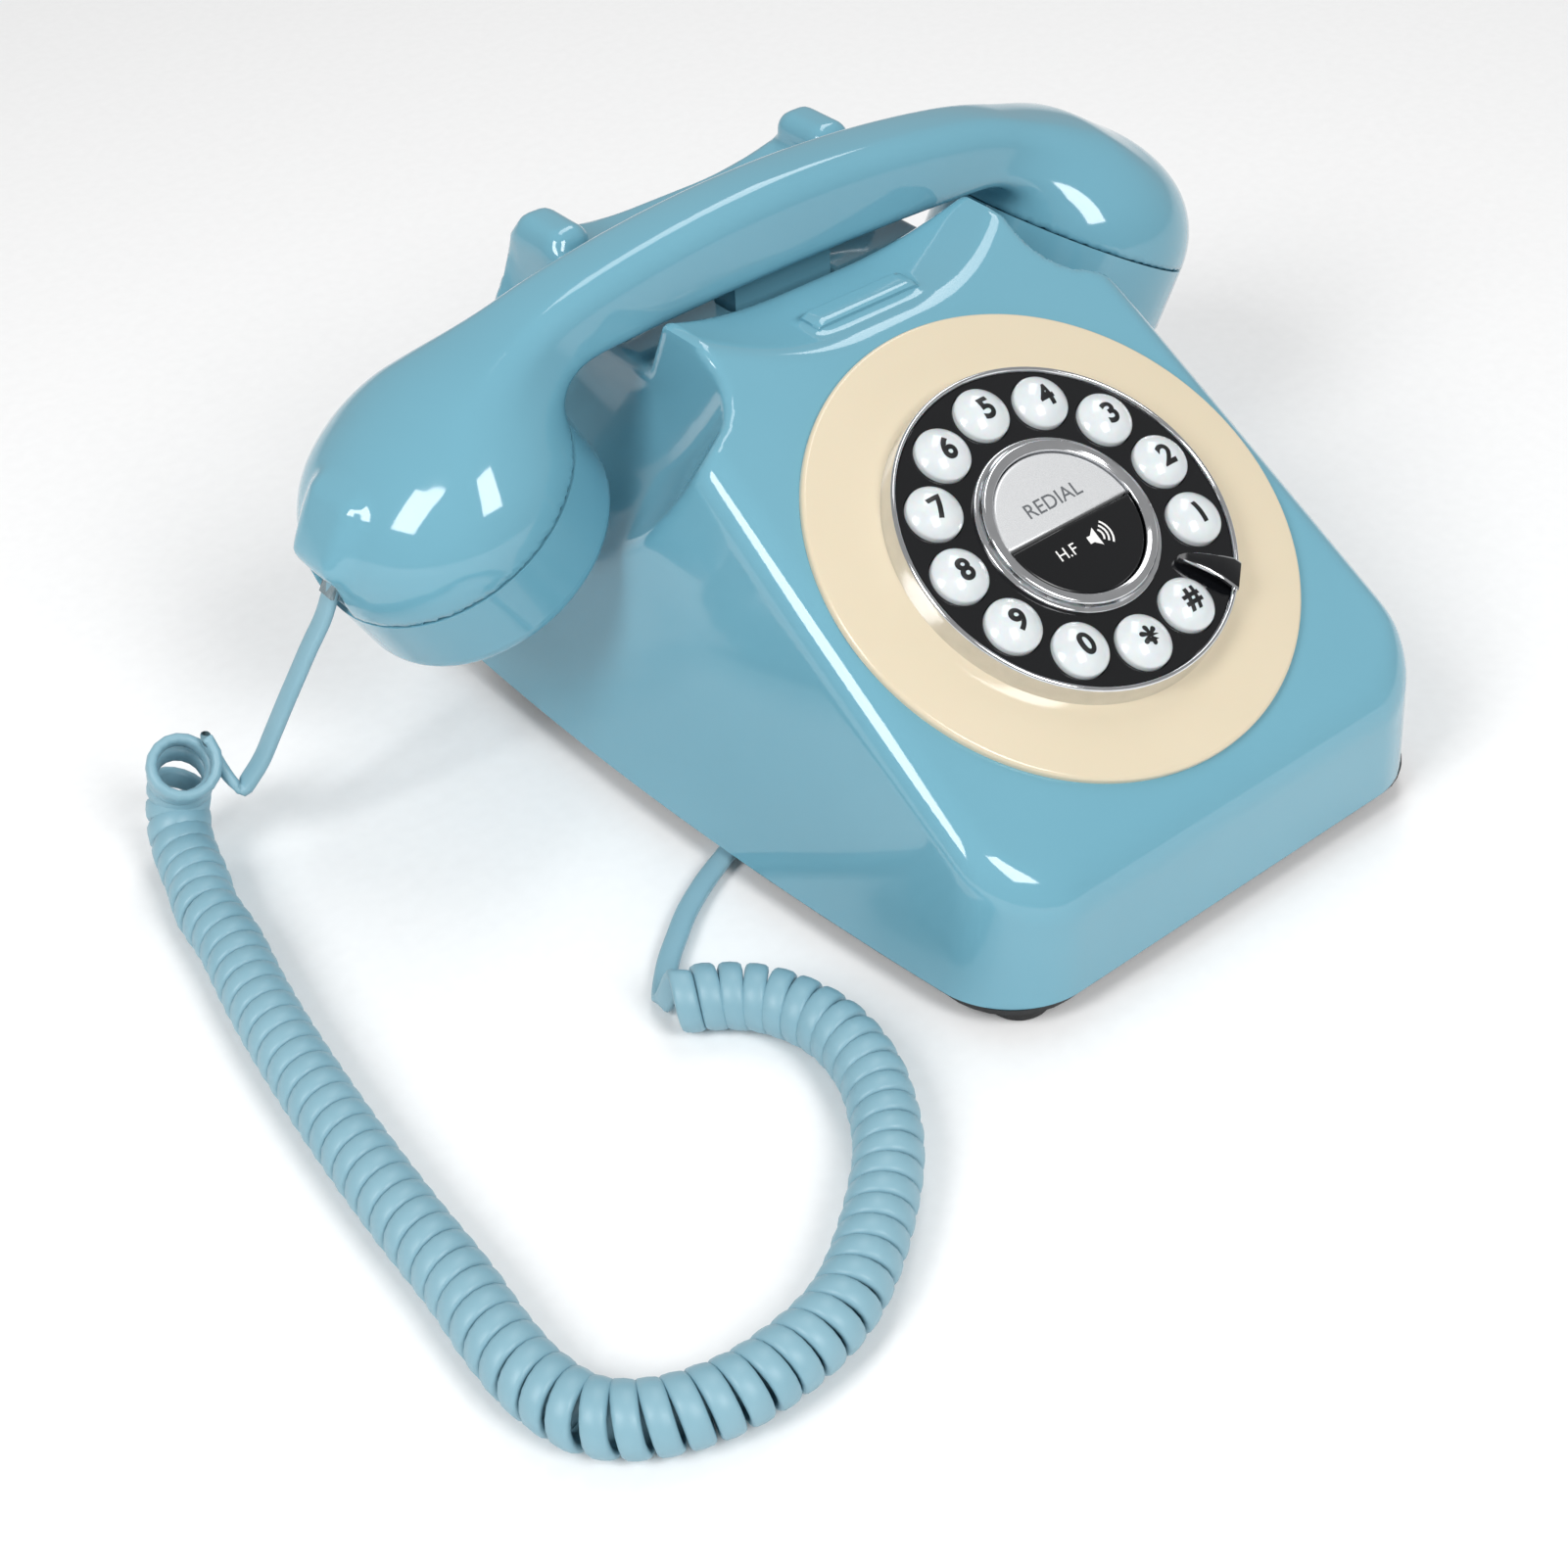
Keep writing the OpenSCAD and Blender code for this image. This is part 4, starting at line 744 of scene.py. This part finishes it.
for name, (dark, light, smooth_end, rough_end, scale, names) in metals.items():
    metal, tree = new_material(name)
    place = add(tree, "TexCoord").outputs["Object"]
    grain = add(tree, "TexNoise", Vector=place, Scale=scale, Detail=4.0)
    shade = add(tree, "Mix", data_type="RGBA", _0=grain.outputs[0],
                _6=linear(dark), _7=linear(light)).outputs[2]
    rough = add(tree, "MapRange", Value=grain.outputs[0], To_Min=smooth_end, To_Max=rough_end)
    relief = add(tree, "Bump", Height=grain.outputs[0], Strength=0.1, Distance=0.0001)
    shader = add(tree, "BsdfPrincipled", Base_Color=shade, Metallic=1.0, Roughness=rough.outputs[0],
                 Normal=relief.outputs[0])
    finish_material(metal, tree, shader, *[nodes[n] for n in names])
    soften(*names)


# Boards. Fibreglass under green solder mask, with traces that show as paler lines: the main
# board stands on the floor plate, and a round one carries the keys.
board, tree = new_material("fibreglass_board_solder_mask")
place = add(tree, "TexCoord").outputs["Object"]
trace = add(tree, "TexVoronoi", Vector=place, distance="MANHATTAN", feature="DISTANCE_TO_EDGE",
            Scale=1000 / 7)
line = add(tree, "MapRange", Value=trace.outputs[0], From_Min=0.03, From_Max=0.07)
shade = add(tree, "Mix", data_type="RGBA", _0=line.outputs[0],
            _6=linear("#4b9a63"), _7=linear("#2a6a42")).outputs[2]
relief = add(tree, "Bump", Height=line.outputs[0], invert=True, Strength=0.3, Distance=0.00004)
shader = add(tree, "BsdfPrincipled", Base_Color=shade, Roughness=0.32, Normal=relief.outputs[0],
             IOR=1.55)
finish_material(board, tree, shader, nodes["main_board"], nodes["keypad_board"])


# Parts on the boards: an epoxy chip, a taped transformer, a silicone key mat, a nylon guide and
# the receiver's foam ring.
# Each has two shades, the ends of its roughness, its grains in a metre, its relief, and its node.
soft_parts = {
    "epoxy_chip_moulded": ("#141517", "#212325", 0.5, 0.65, 1500.0, 0.1, "ringer_chip"),
    "polyester_tape_transformer": ("#a18b3c", "#bda552", 0.3, 0.42, 300.0, 0.15, "line_transformer"),
    "silicone_keypad_mat": ("#93a8a2", "#a9bbb5", 0.5, 0.62, 700.0, 0.1, "keypad_membrane"),
    "nylon_guide_natural": ("#dcdcd6", "#ebebe6", 0.35, 0.48, 250.0, 0.05, "hook_guide"),
    "polyurethane_foam_ring": ("#1f2022", "#38393c", 0.85, 0.97, 1600.0, 0.9, "receiver_pad")}
for name, (dark, light, smooth_end, rough_end, scale, depth, node) in soft_parts.items():
    stuff, tree = new_material(name)
    place = add(tree, "TexCoord").outputs["Object"]
    grain = add(tree, "TexNoise", Vector=place, Scale=scale, Detail=4.0)
    shade = add(tree, "Mix", data_type="RGBA", _0=grain.outputs[0],
                _6=linear(dark), _7=linear(light)).outputs[2]
    rough = add(tree, "MapRange", Value=grain.outputs[0], To_Min=smooth_end, To_Max=rough_end)
    relief = add(tree, "Bump", Height=grain.outputs[0], Strength=depth, Distance=0.0002)
    shader = add(tree, "BsdfPrincipled", Base_Color=shade, Roughness=rough.outputs[0],
                 Normal=relief.outputs[0], IOR=1.5)
    finish_material(stuff, tree, shader, nodes[node])
    soften(node)


# Plugs. Clear polycarbonate blocks, 7.6 mm wide, on the cord's two ends. Each is crimped on the
# cord and clicks into its socket.
clear, tree = new_material("polycarbonate_clear_moulded")
place = add(tree, "TexCoord").outputs["Object"]
flow = add(tree, "TexNoise", Vector=place, Scale=400.0, Detail=2.0)
shade = add(tree, "Mix", data_type="RGBA", _0=flow.outputs[0],
            _6=linear("#d5dcde"), _7=linear("#eef2f3")).outputs[2]
rough = add(tree, "MapRange", Value=flow.outputs[0], To_Min=0.04, To_Max=0.12)
shader = add(tree, "BsdfPrincipled", Base_Color=shade, Roughness=rough.outputs[0], IOR=1.585,
             Transmission_Weight=0.75)
finish_material(clear, tree, shader, nodes["handset_plug"], nodes["base_plug"])


# Camera. A short telephoto, as for a product shot, from the front left and above. It is rolled
# a little, and near enough for the near end of the handset to look larger than the far one.
azimuth, elevation, roll = math.radians(37.934), math.radians(40.146), math.radians(-2.415)
level_part = math.cos(elevation)
look = np.array([math.sin(azimuth) * level_part, math.cos(azimuth) * level_part, -math.sin(elevation)])
level = np.array([math.cos(azimuth), -math.sin(azimuth), 0])
above = np.cross(level, look)
right = math.cos(roll) * level + math.sin(roll) * above
top = -math.sin(roll) * level + math.cos(roll) * above
lens = bpy.data.cameras.new("camera")
lens.lens, lens.sensor_width, lens.clip_start = 56.2, 36, 0.01
camera = bpy.data.objects.new("camera", lens)
eye = (-0.2892, -0.32345, 0.3391)
axes = np.stack([right, top, -look], 1).tolist()
camera.matrix_world = Matrix([[*row, at] for row, at in zip(axes, eye)] + [[0, 0, 0, 1]])
bpy.context.scene.collection.objects.link(camera)
bpy.context.scene.camera = camera


# Studio. A pale sheet under the object, soft boxes at both sides of the camera that the glossy
# domes mirror as rectangles, and a low one behind for the handle's top.
table = mesh_object("table", [(-3, -3, 0), (3, -3, 0), (3, 3, 0), (-3, 3, 0)], [(0, 1, 2, 3)])
paper, tree = new_material("paper_white_sheet")
place = add(tree, "TexCoord").outputs["Object"]
fibre = add(tree, "TexNoise", Vector=place, Scale=300.0, Detail=4.0)
shade = add(tree, "Mix", data_type="RGBA", _0=fibre.outputs[0],
            _6=linear("#f4f4f4"), _7=linear("#fafafa")).outputs[2]
shader = add(tree, "BsdfPrincipled", Base_Color=shade, Roughness=0.9, Specular_IOR_Level=0.2)
finish_material(paper, tree, shader, table)
for name, around_deg, high_deg, far, wide_m, tall_m, watts in (
        ("softbox_left", -82, 40, 1.3, 0.42, 0.58, 8), ("softbox_right", -4, 42, 1.3, 0.42, 0.58, 8),
        ("softbox_back", 130, 62, 1.5, 0.4, 1.2, 5.5)):
    lamp = bpy.data.lights.new(name, "AREA")
    lamp.shape, lamp.size, lamp.size_y, lamp.energy = "RECTANGLE", wide_m, tall_m, watts
    box = bpy.data.objects.new(name, lamp)
    a, e = math.radians(around_deg), math.radians(high_deg)
    spot = Vector((math.sin(a) * math.cos(e), -math.cos(a) * math.cos(e), math.sin(e)))
    box.location = spot * far + Vector((0, 0, 0.06))
    box.rotation_euler = spot.to_track_quat("Z", "Y").to_euler()
    bpy.context.scene.collection.objects.link(box)
world = bpy.data.worlds.new("studio")
world.use_nodes = True
world.node_tree.nodes["Background"].inputs["Color"].default_value = (1, 1, 1, 1)
world.node_tree.nodes["Background"].inputs["Strength"].default_value = 0.36
bpy.context.scene.world = world
bpy.context.scene.view_settings.view_transform = "Standard"
